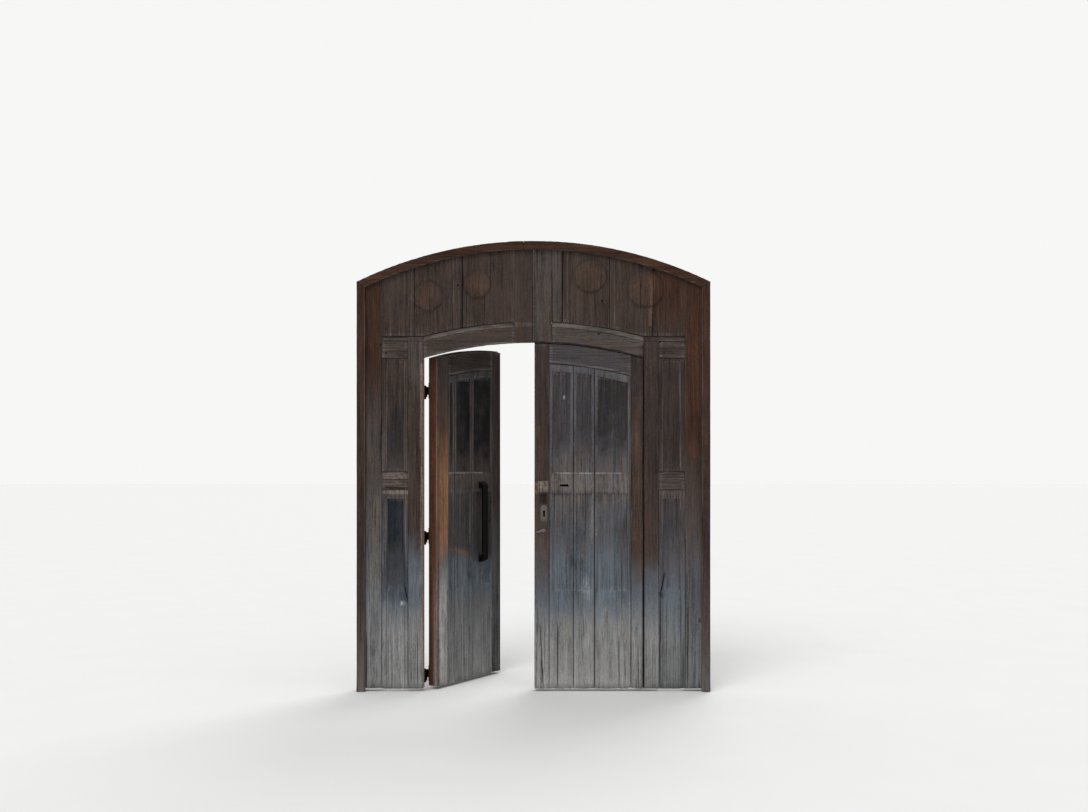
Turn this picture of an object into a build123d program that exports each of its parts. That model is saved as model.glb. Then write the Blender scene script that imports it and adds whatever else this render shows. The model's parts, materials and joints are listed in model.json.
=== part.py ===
from build123d import *
import math
import os

# Arched carriage gate in its frame
# Two big leaves close a segmental arch, and each has a smaller wicket leaf in it.
# The right wicket is shut and the left one stands open. Millimetres, +Z up.
# The street is on the -Y side, and every leaf opens inwards, towards +Y.
# The origin is on the floor, midway between the posts, at half their depth.

os.makedirs("parts", exist_ok=True)

# Wicket doorway and what stands round it, from the middle outwards and upwards
wicket_half_width = 672.0
wicket_crown_height = 2127.0
wicket_rise = 94.0
inner_stile_width = 94.0
column_board_width = 159.0
outer_stile_width = 112.0
head_board_height = 566.0
arch_rise = 229.0

# Frame posts and arched head, with a lip that the leaves shut against
frame_face = 52.0
frame_back_margin = 17.0
lip_thickness = 18.5
lip_cover = 12.0
leaf_seat_gap = 1.5
leaf_edge_gap = 3.0
head_lap_half_length = 60.0
head_lap_gap = 0.4
dowel_diameter = 20.0
dowel_depth = 60.0
wall_bolt_diameter = 14.0
wall_bolt_lowest = 420.0
wall_bolt_spacing = 540.0
wall_bolt_count = 4

# Timber of the leaves
leaf_thickness = 63.0
board_thickness = 38.0
floor_gap = 15.0
leaf_meeting_gap = 1.0
leaf_meeting_splay = 4.0
seam_gap = 2.0
tongue_thickness = 10.0
tongue_side_gap = 0.5
groove_depth = 8.0
tenon_end_gap = 1.0
arris = 4.0
seam_ease = 3.0

# Big leaf: rails, and the boards' widths from the meeting stile outwards
upper_meeting_stile_width = 112.5
arched_rail_depth = 127.0
upper_cross_rail_depth = 131.0
mid_cross_rail_height = 1229.0
mid_cross_rail_depth = 110.0
left_upper_boards = (320.0, 294.0, 198.0)
right_upper_boards = (64.0, 287.0, 265.0, 196.0)

# Moulding cut along the upper front edge of the rails: a bevel above a fine quirk
rail_bevel_width = 28.0
rail_bevel_depth = 8.0
mid_rail_bevel_width = 46.0
mid_rail_bevel_depth = 9.0
quirk = 5.0

# Reeds: fine grooves beside a board's inner edge, board by board
reed_depth = 2.5
left_reeds = ((), (15.0, 31.0, 55.0, 72.0), (16.0,))
right_reeds = ((), (27.0,), (27.0,), (27.0,))

# Wicket leaf, with its boards' widths from the meeting stile outwards
wicket_hinge_gap = 4.0
wicket_meeting_gap = 11.0
wicket_top_gap = 4.0
wicket_rail_depth = 123.0
wicket_lip_thickness = 20.0
wicket_rebate_depth = 10.0
wicket_meeting_stile_width = 90.0
left_hanging_stile_width = 116.0
right_hanging_stile_width = 73.0
left_wicket_boards = (216.5, 177.0, 63.0)
right_wicket_boards = (148.5, 129.0, 222.0)
left_wicket_rest_angle = 56.0

# Sunk fields carved in the boards
field_depth = 9.0
field_margin = 13.0
field_side_bevel = 8.0
field_foot_bevel = 20.0
field_top_margin = 45.0
lock_band_foot = 1206.0
lock_band_depth = 133.0
lower_field_foot = 616.0
column_inner_margin = 20.0
column_outer_margin = 28.0
column_top_margin = 18.0
column_lower_top_margin = 56.0
column_line_depth = 3.0

# Shallow turned discs on the upper boards: distance from the middle, drop from the crown, radius
disc_relief = 2.5
left_discs = ((643.6, 281.0, 91.0), (344.7, 207.0, 86.0))
right_discs = ((344.7, 159.0, 100.0), (683.8, 238.0, 112.0))

# Ledges nailed across the back
wicket_ledge_thickness = 24.0
ledge_width = 100.0
transom_ledge_rise = 23.0
top_ledge_spacing = 200.0
foot_ledge_height = 230.0
wicket_foot_ledge_height = 40.0
wicket_top_ledge_drop = 337.0
lock_ledge_gap = 17.5
ledge_end_clearance = 28.0
notch_gap = 1.0

# Strap hinges on pintles
strap_width = 50.0
strap_thickness = 8.0
strap_tip_width = 30.0
pin_diameter = 16.0
pin_clearance = 0.4
eye_diameter = 30.0
eye_seat_gap = 0.4
hinge_back_clearance = 4.0
pin_rise = 7.0
pin_tail = 26.0
arm_height = 14.0
arm_half_width = 14.0
pintle_plate_thickness = 6.0
pintle_plate_width = 26.0
pintle_plate_height = 44.0
pintle_plate_offset = 6.0
long_strap_length = 640.0
short_strap_length = 320.0
wicket_strap_length = 460.0

# Rod bolts at the top of the big leaves
rod_diameter = 14.0
rod_clearance = 0.5
rod_standoff = 1.0
rod_place = 58.0
rod_foot_rise = 18.0
rod_top_drop = 7.0
rod_travel = 44.0
rod_overrun = 2.0
rod_stalk_diameter = 10.0
rod_knob_reach = 38.0
rod_knob_diameter = 24.0
rod_knob_thickness = 12.0
guide_wall = 5.0
guide_foot_thickness = 3.0
guide_foot_half_width = 27.0
guide_height = 30.0
keeper_clearance = 2.5

# Lock of the right wicket
lock_height = 1083.0
lock_case_width = 120.0
lock_case_height = 150.0
lock_case_depth = 25.0
lock_case_edge_gap = 1.5
lock_bolt_height = 30.0
lock_bolt_thickness = 10.0
lock_bolt_length = 80.0
lock_bolt_clearance = 0.6
keeper_width = 34.0
keeper_wall = 6.0
keeper_tall = 60.0
keyhole_place = 64.0
keyhole_top_radius = 7.5
keyhole_foot_radius = 5.5
keyhole_spread = 26.0
escutcheon_width = 42.0
escutcheon_drop = 92.0
escutcheon_rise = 54.0
escutcheon_thickness = 2.0
old_lock_place = 61.0
old_lock_width = 42.0
old_lock_rise = 58.0
old_lock_tall = 64.0
old_lock_depth = 8.0
letter_slot_place = 188.0
letter_slot_rise = 50.0
letter_slot_width = 50.0
letter_slot_tall = 12.0

# Pull handle on the left wicket
handle_place = 217.0
handle_foot_height = 752.0
handle_length = 522.0
handle_width = 52.0
handle_thickness = 12.0
handle_reach = 36.0
handle_bend_radius = 14.0
handle_foot_length = 44.0

# Small chamfers on the iron
iron_chamfer = 2.0
rod_chamfer = 3.0
case_chamfer = 3.0

# How far a cutter runs past the face that it opens, and far enough to clear the whole gate
PAST = 1.0
FAR = 4000.0

# Places that follow from the sizes
sight_half_width = (wicket_half_width + inner_stile_width + column_board_width
                    + outer_stile_width - lip_cover)
crown_height = wicket_crown_height + head_board_height
frame_depth = lip_thickness + leaf_seat_gap + leaf_thickness + frame_back_margin
frame_front = -frame_depth / 2
frame_back = frame_depth / 2
leaf_front = frame_front + lip_thickness + leaf_seat_gap
leaf_back = leaf_front + leaf_thickness
board_back = leaf_front + board_thickness
joint_y = leaf_front + board_thickness / 2
groove_thickness = tongue_thickness + 2 * tongue_side_gap
tongue_depth = groove_depth + seam_gap / 2
tenon_depth = groove_depth - tenon_end_gap
sight_radius = (sight_half_width ** 2 + arch_rise ** 2) / (2 * arch_rise)
arch_centre = crown_height - sight_radius
leaf_half_width = sight_half_width + lip_cover
leaf_radius = sight_radius + lip_cover
rebate_half_width = leaf_half_width + leaf_edge_gap
rebate_radius = leaf_radius + leaf_edge_gap
frame_half_width = sight_half_width + frame_face
frame_radius = sight_radius + frame_face
wicket_radius = (wicket_half_width ** 2 + wicket_rise ** 2) / (2 * wicket_rise)
wicket_centre = wicket_crown_height - wicket_radius
wicket_edge = wicket_half_width - wicket_hinge_gap
wicket_top_radius = wicket_radius - wicket_top_gap
wicket_rail_radius = wicket_top_radius - wicket_rail_depth
arched_rail_radius = wicket_radius + arched_rail_depth
shoulder_height = wicket_centre + math.sqrt(arched_rail_radius ** 2 - wicket_half_width ** 2)
rail_tenon_foot = wicket_crown_height - wicket_rise + wicket_rebate_depth + seam_gap
outer_stile_edge = leaf_half_width - outer_stile_width
inner_stile_edge = wicket_half_width + inner_stile_width
upper_stile_front = leaf_meeting_gap / 2
upper_stile_back = upper_stile_front + leaf_meeting_splay
upper_stile_edge = upper_stile_front + upper_meeting_stile_width
wicket_stile_edge = wicket_meeting_gap / 2 + wicket_meeting_stile_width
lock_band_top = lock_band_foot + lock_band_depth
leaf_pivot = (rebate_half_width, frame_back + eye_diameter / 2 + hinge_back_clearance)
leaf_ledge_back = leaf_pivot[1] - strap_thickness / 2
leaf_ledge_thickness = leaf_ledge_back - leaf_back
wicket_ledge_back = leaf_back + wicket_ledge_thickness
wicket_pivot = (wicket_half_width, wicket_ledge_back + strap_thickness / 2)
strap_inset = (ledge_width - strap_width) / 2
transom_ledge_height = wicket_crown_height + transom_ledge_rise
top_ledge_height = transom_ledge_height + top_ledge_spacing
mid_ledge_height = mid_cross_rail_height + (mid_cross_rail_depth - ledge_width) / 2
lock_ledge_height = lock_height - lock_case_height / 2 - lock_ledge_gap - ledge_width
wicket_ledge_heights = (wicket_foot_ledge_height, lock_ledge_height,
                        wicket_crown_height - wicket_top_ledge_drop)
rod_y = leaf_ledge_back + rod_standoff + rod_diameter / 2
rod_foot_height = transom_ledge_height + rod_foot_rise
rod_top_height = arch_centre + math.sqrt(leaf_radius ** 2 - rod_place ** 2) - rod_top_drop
keeper_height = rod_top_height + rod_travel - rod_overrun - guide_height
guide_inset = (ledge_width - guide_height) / 2
rod_knob_height = (transom_ledge_height + guide_inset + guide_height
                   + rod_stalk_diameter / 2 + eye_seat_gap)
lock_x0 = wicket_meeting_gap / 2 + lock_case_edge_gap
lock_bolt_y = leaf_back + lock_case_depth - keeper_wall - lock_bolt_thickness / 2


def block(x0, x1, y0, y1, z0, z1):
    """A rectangular solid between two corners."""
    middle = Pos((x0 + x1) / 2, (y0 + y1) / 2, (z0 + z1) / 2)
    return middle * Box(x1 - x0, y1 - y0, z1 - z0)


def arch_disc(radius, centre):
    """The round solid, with its axis through the gate, that an arch is cut with."""
    return Pos(0, 0, centre) * Rot(90, 0, 0) * Cylinder(radius, FAR)


def wicket_head_space(radius):
    """The arched space that the wicket fills: its back half rises behind the leaf's lip."""
    back = block(-FAR, FAR, leaf_front + wicket_lip_thickness, FAR, 0, FAR)
    high = arch_disc(radius + wicket_rebate_depth, wicket_centre)
    return arch_disc(radius, wicket_centre) + (high & back)


def upright(x, y, z0, z1, radius):
    """A round bar that stands upright."""
    return Pos(x, y, (z0 + z1) / 2) * Cylinder(radius, z1 - z0)


def across(x, z, y0, y1, radius):
    """A round bar or hole that runs from front to back."""
    return Pos(x, (y0 + y1) / 2, z) * Rot(90, 0, 0) * Cylinder(radius, y1 - y0)


def seam_places(x0, x1, widths):
    """The edges of boards that fill the space between two stiles in the given proportions."""
    places = [x0]
    for width in widths:
        places.append(places[-1] + (x1 - x0) * width / sum(widths))
    return places


def tongue(edge, way, z0, z1, depth=tongue_depth):
    """The tongue on a board's upright edge, on the side that way gives."""
    ends = sorted((edge - way, edge + way * depth))
    half = tongue_thickness / 2
    return block(ends[0], ends[1], joint_y - half, joint_y + half, z0, z1)


def groove(edge, way, z0, z1):
    """The groove cut in an upright edge, from the side that way gives."""
    ends = sorted((edge + way * PAST, edge - way * groove_depth))
    half = groove_thickness / 2
    return block(ends[0], ends[1], joint_y - half, joint_y + half, z0, z1)


def sunk_field(x0, x1, z0, z1, foot_bevel=field_foot_bevel):
    """The cutter for a sunk field with sloping sides, open to the street."""
    def ring(y, side, foot):
        corners = [(x0 + side, y, z0 + foot), (x1 - side, y, z0 + foot),
                   (x1 - side, y, z1), (x0 + side, y, z1)]
        return Wire.make_polygon([Vector(*corner) for corner in corners], close=True)

    rise = PAST / field_depth
    mouth = ring(leaf_front - PAST, -field_side_bevel * rise, -foot_bevel * rise)
    floor = ring(leaf_front + field_depth, field_side_bevel, foot_bevel)
    return Solid.make_loft([mouth, floor], ruled=True)


def front_lines(solid, places, size=arris):
    """Cut V lines in the front at the given places. At an edge this takes the sharp arris off."""
    for place_x in places:
        cutter = Pos(place_x, leaf_front, FAR / 2) * Rot(0, 0, 45)
        side = size * math.sqrt(2)
        solid = solid - cutter * Box(side, side, FAR)
    return solid


def moulding_section(width, depth):
    """The section of a rail's moulding: distance out from the rail's edge, and place in depth."""
    return [(-width - quirk, leaf_front - PAST), (-width - quirk, leaf_front),
            (-width - quirk / 2, leaf_front + quirk), (-width, leaf_front),
            (0, leaf_front + depth), (PAST, leaf_front + depth), (PAST, leaf_front - PAST)]


def straight_moulding(x0, x1, top, width, depth):
    """The cutter for the moulding along the top of a straight rail."""
    points = [(y, top + out) for out, y in moulding_section(width, depth)]
    section = Plane.YZ * make_face(Polyline(*points, close=True))
    return Pos(x0, 0, 0) * extrude(section, x1 - x0)


def ring_cut(points, centre):
    """A ring round an arch's axis, from a section of radius and place in depth."""
    return Pos(0, 0, centre) * revolve(make_face(Polyline(*points, close=True)), Axis.Y)


# Frame: two posts and an arched head in two halves

def frame_profile():
    """The whole frame on the right side, before it is cut into post and head."""
    outside = block(0, frame_half_width, frame_front, frame_back, 0, FAR)
    outside = outside & arch_disc(frame_radius, arch_centre)
    lip_back = frame_front + lip_thickness
    seen = block(-PAST, sight_half_width, frame_front - PAST, lip_back + PAST, -PAST, FAR)
    seen = seen & arch_disc(sight_radius, arch_centre)
    rebate = block(-PAST, rebate_half_width, lip_back, frame_back + PAST, -PAST, FAR)
    rebate = rebate & arch_disc(rebate_radius, arch_centre)
    return outside - seen - rebate


def springing_cut():
    """Everything below the sloping joint between a post and the head."""
    inner = (sight_half_width, arch_centre + math.sqrt(sight_radius ** 2 - sight_half_width ** 2))
    outer = (frame_half_width, arch_centre + math.sqrt(frame_radius ** 2 - frame_half_width ** 2))
    slope = (outer[1] - inner[1]) / (outer[0] - inner[0])
    wide = 2 * frame_half_width
    points = [(0, -PAST), (wide, -PAST), (wide, inner[1] + slope * (wide - inner[0])),
              (0, inner[1] - slope * inner[0])]
    face = make_face(Polyline(*points, close=True))
    return Pos(0, frame_depth, 0) * (Plane.XZ * extrude(face, 2 * frame_depth))


def post():
    """The right post, with its dowel hole and wall bolt holes."""
    body = frame_profile() & springing_cut()
    middle = (sight_half_width + frame_half_width) / 2
    body = body - upright(middle, 0, -PAST, dowel_depth, dowel_diameter / 2)
    for number in range(wall_bolt_count):
        height = wall_bolt_lowest + number * wall_bolt_spacing
        hole = Pos(middle, (leaf_front + frame_back) / 2, height) * Rot(0, 90, 0)
        body = body - hole * Cylinder(wall_bolt_diameter / 2, 3 * frame_face)
    return body


def head_half(front_half):
    """Half of the arched head. The two halves share a lap at the crown."""
    body = frame_profile() - springing_cut()
    lap = block(-head_lap_half_length, head_lap_half_length, frame_front, frame_back, 0, FAR)
    both = body + body.mirror(Plane.YZ)
    whole = body + (both & lap)
    lap_y = (frame_front + lip_thickness + frame_back) / 2
    if front_half:
        away = block(-FAR, head_lap_half_length + head_lap_gap, lap_y, FAR, 0, FAR)
    else:
        away = block(-FAR, head_lap_half_length + head_lap_gap, -FAR, lap_y + head_lap_gap, 0, FAR)
    return whole - away


def pintle(pivot, strap_foot, plate_y):
    """A pin on an arm, on a plate that is screwed to the back of the timber."""
    x, y = pivot
    arm_top = strap_foot - eye_seat_gap
    arm_foot = arm_top - arm_height
    plate_x0 = x + pintle_plate_offset
    plate_x1 = plate_x0 + pintle_plate_width
    near = x - arm_half_width
    outline = Polyline((near, y - arm_half_width), (plate_x0, plate_y), (plate_x1, plate_y),
                       (x + arm_half_width, y + arm_half_width), (near, y + arm_half_width),
                       close=True)
    arm = Pos(0, 0, arm_foot) * extrude(make_face(outline), arm_height, dir=(0, 0, 1))
    plate = block(plate_x0, plate_x1, plate_y, plate_y + pintle_plate_thickness,
                  arm_top - pintle_plate_height, arm_top)
    pin = upright(x, y, arm_foot - pin_tail / 2, strap_foot + strap_width + pin_rise,
                  pin_diameter / 2)
    return arm + plate + pin


def strap(pivot, foot, length, back_of_ledge):
    """A tapering strap on the ledge, with the eye that turns on the pin."""
    x, y = pivot
    top = foot + strap_width
    middle = (foot + top) / 2
    tip = x - length
    half_tip = strap_tip_width / 2
    outline = Polyline((x, foot), (x, top), (tip + half_tip, middle + half_tip),
                       (tip, middle), (tip + half_tip, middle - half_tip), close=True)
    bar = Plane.XZ * extrude(make_face(outline), strap_thickness)
    bar = Pos(0, back_of_ledge + strap_thickness, 0) * bar
    eye = upright(x, y, foot, top, eye_diameter / 2)
    bore = upright(x, y, foot - PAST, top + PAST, pin_diameter / 2 + pin_clearance)
    return bar + eye - bore


def ledge(x0, x1, foot, thickness, notch):
    """A ledge across the back, let in between the stiles where the boards are thinner."""
    body = block(x0, x1, leaf_back, leaf_back + thickness, foot, foot + ledge_width)
    edges = body.edges().filter_by(Axis.X).group_by(Axis.Y)[-1]
    body = chamfer(edges, arris)
    if notch:
        body = body + block(notch[0] + notch_gap, notch[1] - notch_gap, board_back,
                            leaf_back + PAST, foot, foot + ledge_width)
    return body


# Timber of the big leaf, on the right side

def outer_stile():
    """The hanging stile of the big leaf, from the floor to the arch."""
    body = block(outer_stile_edge, leaf_half_width, leaf_front, leaf_back, floor_gap, FAR)
    body = body & arch_disc(leaf_radius, arch_centre)
    body = body - groove(outer_stile_edge, -1, 0, FAR)
    return front_lines(body, [outer_stile_edge])


def inner_stile():
    """The stile that the wicket hangs on. Its top stops at the shoulder of the arched rail."""
    body = block(wicket_half_width, inner_stile_edge, leaf_front, leaf_back,
                 floor_gap, shoulder_height)
    body = body - groove(inner_stile_edge, 1, 0, FAR)
    body = body - groove(wicket_half_width, -1, rail_tenon_foot, FAR)
    half = groove_thickness / 2
    body = body - block(wicket_half_width - PAST, inner_stile_edge + PAST, joint_y - half,
                        joint_y + half, shoulder_height - groove_depth, FAR)
    body = body - straight_moulding(0, sight_half_width, shoulder_height,
                                    rail_bevel_width, rail_bevel_depth)
    return front_lines(body, [wicket_half_width, inner_stile_edge])


def upper_meeting_stile():
    """The short stile above the wicket. Its meeting edge is splayed, so that it swings clear."""
    plan = Polyline((upper_stile_front, leaf_front), (upper_stile_edge, leaf_front),
                    (upper_stile_edge, leaf_back), (upper_stile_back, leaf_back), close=True)
    body = extrude(make_face(plan), FAR, dir=(0, 0, 1))
    body = body & arch_disc(leaf_radius, arch_centre)
    body = body - wicket_head_space(wicket_radius)
    body = body - groove(upper_stile_edge, 1, 0, FAR)
    return front_lines(body, [upper_stile_front, upper_stile_edge])


def arched_rail():
    """The curved rail over the wicket, grooved for the upper boards and moulded along its top."""
    x0 = upper_stile_edge
    x1 = wicket_half_width
    body = block(x0, x1, leaf_front, leaf_back, 0, FAR)
    body = body & arch_disc(arched_rail_radius, wicket_centre)
    body = body - wicket_head_space(wicket_radius)
    half = groove_thickness / 2
    groove_floor = arch_disc(arched_rail_radius - groove_depth, wicket_centre)
    slot = block(x0, x1, joint_y - half, joint_y + half, 0, FAR)
    body = body - (slot - groove_floor)
    tenons = tongue(x0, -1, 0, FAR, tenon_depth) + tongue(x1, 1, 0, FAR, tenon_depth)
    tenons = tenons & groove_floor
    tenons = tenons - block(0, FAR, -FAR, FAR, 0, rail_tenon_foot + tenon_end_gap)
    tenons = tenons - arch_disc(wicket_radius + wicket_rebate_depth + seam_gap, wicket_centre)
    section = [(arched_rail_radius + out, y)
               for out, y in moulding_section(rail_bevel_width, rail_bevel_depth)]
    return body - ring_cut(section, wicket_centre) + tenons


def cross_rail(foot, depth, bevel_width, bevel_depth):
    """A short rail between the two stiles of the column, grooved above and below."""
    top = foot + depth
    body = block(inner_stile_edge, outer_stile_edge, leaf_front, leaf_back, foot, top)
    front_foot = body.edges().filter_by(Axis.X).group_by(Axis.Y)[0].group_by(Axis.Z)[0]
    body = chamfer(front_foot, arris)
    half = groove_thickness / 2
    low = foot + groove_depth
    high = top - groove_depth
    for z0, z1 in ((foot - PAST, low), (high, top + PAST)):
        body = body - block(inner_stile_edge - PAST, outer_stile_edge + PAST, joint_y - half,
                            joint_y + half, z0, z1)
    body = body - straight_moulding(0, sight_half_width, top, bevel_width, bevel_depth)
    body = body + tongue(inner_stile_edge, -1, low, high, tenon_depth)
    return body + tongue(outer_stile_edge, 1, low, high, tenon_depth)


def column_panel(foot, top, foot_tongue):
    """A board between the column's stiles, held by tongues all round, before it is carved."""
    x0 = inner_stile_edge + seam_gap / 2
    x1 = outer_stile_edge - seam_gap / 2
    z0 = foot + (seam_gap if foot_tongue else 0)
    z1 = top - seam_gap
    body = block(x0, x1, leaf_front, board_back, z0, z1)
    reach = tongue_depth - seam_gap / 2
    low = z0 - (reach - seam_gap if foot_tongue else 0)
    half = tongue_thickness / 2
    return body + block(x0 - reach, x1 + reach, joint_y - half, joint_y + half,
                        low, z1 + reach - seam_gap)


def column_upper_panel(foot, top):
    """The panel above the mid cross rail. Its field runs out at the foot over the rail's bevel."""
    x0 = inner_stile_edge + column_inner_margin
    x1 = outer_stile_edge - column_outer_margin
    foot_below = field_foot_bevel + field_depth
    field = sunk_field(x0, x1, foot - foot_below, top - column_top_margin)
    return column_panel(foot, top, True) - field


def column_lower_board(foot, top):
    """The board below the mid cross rail. The field's side lines run on down to its foot."""
    x0 = inner_stile_edge + column_inner_margin
    x1 = outer_stile_edge - column_outer_margin
    body = column_panel(foot, top, False)
    body = front_lines(body, [x0, x1], column_line_depth)
    return body - sunk_field(x0, x1, lower_field_foot, top - column_lower_top_margin)


def above_rail(board, drop):
    """What is left of a board above the arched rail and the shoulder, less a drop."""
    board = board - arch_disc(arched_rail_radius - drop, wicket_centre)
    return board - block(0, FAR, -FAR, FAR, 0, shoulder_height - drop)


def upper_board(x0, x1, first, discs, reeds):
    """A board between the arched rail and the arch, with its share of the turned discs."""
    left = x0 + seam_gap / 2
    right = x1 - seam_gap / 2
    half = tongue_thickness / 2
    body = above_rail(block(left, right, leaf_front, board_back, 0, FAR), -seam_gap)
    sides = tongue(right, 1, 0, FAR)
    if first:
        sides = sides + tongue(left, -1, 0, FAR)
    sides = above_rail(sides, -seam_gap)
    root = block(left, right, joint_y - half, joint_y + half, 0, FAR)
    body = body + sides + above_rail(root, groove_depth - seam_gap)
    if not first:
        body = body - groove(left, -1, 0, FAR)
    body = body & arch_disc(leaf_radius, arch_centre)
    body = front_lines(body, [left, right], seam_ease)
    body = front_lines(body, [left + reed for reed in reeds], reed_depth)
    within = block(left, right, -FAR, FAR, 0, FAR) & arch_disc(sight_radius - arris, arch_centre)
    for place_x, drop, radius in discs:
        disc = across(place_x, crown_height - drop, leaf_front - disc_relief,
                      leaf_front + arris, radius)
        disc = disc & within
        if disc.volume > PAST:
            body = body + disc
    return body


def big_leaf(boards, discs, reeds):
    """All the timber and iron of one big leaf, by name, on the right side."""
    pieces = {}
    pieces["outer_stile"] = outer_stile()
    pieces["inner_stile"] = inner_stile()
    pieces["meeting_stile"] = upper_meeting_stile()
    pieces["arched_rail"] = arched_rail()
    cross_foot = shoulder_height - upper_cross_rail_depth
    mid_top = mid_cross_rail_height + mid_cross_rail_depth
    pieces["upper_cross_rail"] = cross_rail(cross_foot, upper_cross_rail_depth,
                                            rail_bevel_width, rail_bevel_depth)
    pieces["mid_cross_rail"] = cross_rail(mid_cross_rail_height, mid_cross_rail_depth,
                                          mid_rail_bevel_width, mid_rail_bevel_depth)
    pieces["upper_panel"] = column_upper_panel(mid_top, cross_foot)
    pieces["lower_board"] = column_lower_board(floor_gap, mid_cross_rail_height)
    places = seam_places(upper_stile_edge, outer_stile_edge, boards)
    for number in range(len(boards)):
        board = upper_board(places[number], places[number + 1], number == 0, discs, reeds[number])
        pieces[f"upper_board_{number + 1}"] = board
    end = rebate_half_width - ledge_end_clearance
    near = wicket_half_width + ledge_end_clearance
    start = upper_stile_back + arris
    between = (upper_stile_edge, outer_stile_edge)
    column = (inner_stile_edge, outer_stile_edge)
    pieces["ledges"] = Compound([
        ledge(start, end, top_ledge_height, leaf_ledge_thickness, between),
        ledge(start, end, transom_ledge_height, leaf_ledge_thickness, None),
        ledge(near, end, mid_ledge_height, leaf_ledge_thickness, None),
        ledge(near, end, foot_ledge_height, leaf_ledge_thickness, column)])
    lengths = ((foot_ledge_height, short_strap_length), (mid_ledge_height, short_strap_length),
               (transom_ledge_height, long_strap_length))
    pieces["straps"] = Compound([
        strap(leaf_pivot, height + strap_inset, length, leaf_ledge_back)
        for height, length in lengths])
    pieces["wicket_pintles"] = Compound([
        pintle(wicket_pivot, height + strap_inset, leaf_back) for height in wicket_ledge_heights])
    pieces["bolt_guides"] = Compound([
        rod_guide(height + guide_inset, leaf_ledge_back, rod_clearance)
        for height in (transom_ledge_height, top_ledge_height)])
    return pieces


def rod_guide(foot, seat_y, clearance):
    """A staple that holds the rod bolt, with two feet on its seat."""
    bore = rod_diameter / 2 + clearance
    outside = bore + guide_wall
    top = foot + guide_height
    body = upright(rod_place, rod_y, foot, top, outside)
    body = body & block(0, FAR, seat_y, FAR, 0, FAR)
    body = body + block(rod_place - outside, rod_place + outside, seat_y, rod_y, foot, top)
    body = body + block(rod_place - guide_foot_half_width, rod_place + guide_foot_half_width,
                        seat_y, seat_y + guide_foot_thickness, foot, top)
    body = body - upright(rod_place, rod_y, foot - PAST, top + PAST, bore)
    return body - block(rod_place - bore, rod_place + bore, seat_y - PAST, rod_y,
                        foot - PAST, top + PAST)


def rod_bolt():
    """The rod that slides up behind the head, with its knob."""
    rod = upright(rod_place, rod_y, rod_foot_height, rod_top_height, rod_diameter / 2)
    rod = chamfer(rod.edges().group_by(Axis.Z)[-1], rod_chamfer)
    knob_front = rod_y + rod_knob_reach
    stalk = across(rod_place, rod_knob_height, rod_y, knob_front, rod_stalk_diameter / 2)
    knob = across(rod_place, rod_knob_height, knob_front, knob_front + rod_knob_thickness,
                  rod_knob_diameter / 2)
    return rod + stalk + knob


# Timber of a wicket leaf, on the right side

def wicket_outline():
    """The space of the wicket itself, clear of the leaf's lip and of the rebate behind it."""
    lip_back = leaf_front + wicket_lip_thickness
    behind_lip = block(-FAR, FAR, lip_back, lip_back + leaf_seat_gap, 0, FAR)
    whole = wicket_head_space(wicket_top_radius) - behind_lip
    return whole + arch_disc(wicket_top_radius, wicket_centre)


def wicket_stile(x0, x1, groove_edge, way):
    """An upright of the wicket, with a groove for the boards."""
    body = block(x0, x1, leaf_front, leaf_back, floor_gap, FAR)
    body = body & wicket_outline()
    body = body - groove(groove_edge, way, 0, FAR)
    return front_lines(body, [x0, x1])


def wicket_top_rail(x0, x1):
    """The curved top rail of the wicket, grooved below for the boards."""
    body = block(x0, x1, leaf_front, leaf_back, 0, FAR)
    body = body & wicket_outline()
    body = body - arch_disc(wicket_rail_radius, wicket_centre)
    half = groove_thickness / 2
    groove_floor = arch_disc(wicket_rail_radius + groove_depth, wicket_centre)
    slot = block(x0 - PAST, x1 + PAST, joint_y - half, joint_y + half, 0, FAR)
    body = body - (slot & groove_floor)
    lower_arris = [(wicket_rail_radius - PAST, leaf_front - PAST),
                   (wicket_rail_radius + arris, leaf_front - PAST),
                   (wicket_rail_radius + arris, leaf_front),
                   (wicket_rail_radius, leaf_front + arris),
                   (wicket_rail_radius - PAST, leaf_front + arris)]
    body = body - ring_cut(lower_arris, wicket_centre)
    tenons = tongue(x0, -1, 0, FAR, tenon_depth) + tongue(x1, 1, 0, FAR, tenon_depth)
    tenons = tenons & arch_disc(wicket_top_radius - arris, wicket_centre)
    return body + (tenons - groove_floor)


def wicket_board(x0, x1, first):
    """A full-height board with an upper and a lower sunk field."""
    left = x0 + seam_gap / 2
    right = x1 - seam_gap / 2
    half = tongue_thickness / 2
    below_rail = arch_disc(wicket_rail_radius - seam_gap, wicket_centre)
    body = block(left, right, leaf_front, board_back, floor_gap, FAR)
    sides = tongue(right, 1, floor_gap, FAR)
    if first:
        sides = sides + tongue(left, -1, floor_gap, FAR)
    body = (body + sides) & below_rail
    head = block(left, right, joint_y - half, joint_y + half, floor_gap, FAR)
    body = body + (head & arch_disc(wicket_rail_radius + groove_depth - seam_gap, wicket_centre))
    if not first:
        body = body - groove(left, -1, 0, FAR)
    inner = left + field_margin
    outer = right - field_margin
    upper = sunk_field(inner, outer, lock_band_top - field_foot_bevel, wicket_crown_height)
    upper = upper & arch_disc(wicket_rail_radius - field_top_margin, wicket_centre)
    lower = sunk_field(inner, outer, lower_field_foot - field_side_bevel, lock_band_foot,
                       field_side_bevel)
    return front_lines(body - upper - lower, [left, right], seam_ease)


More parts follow.
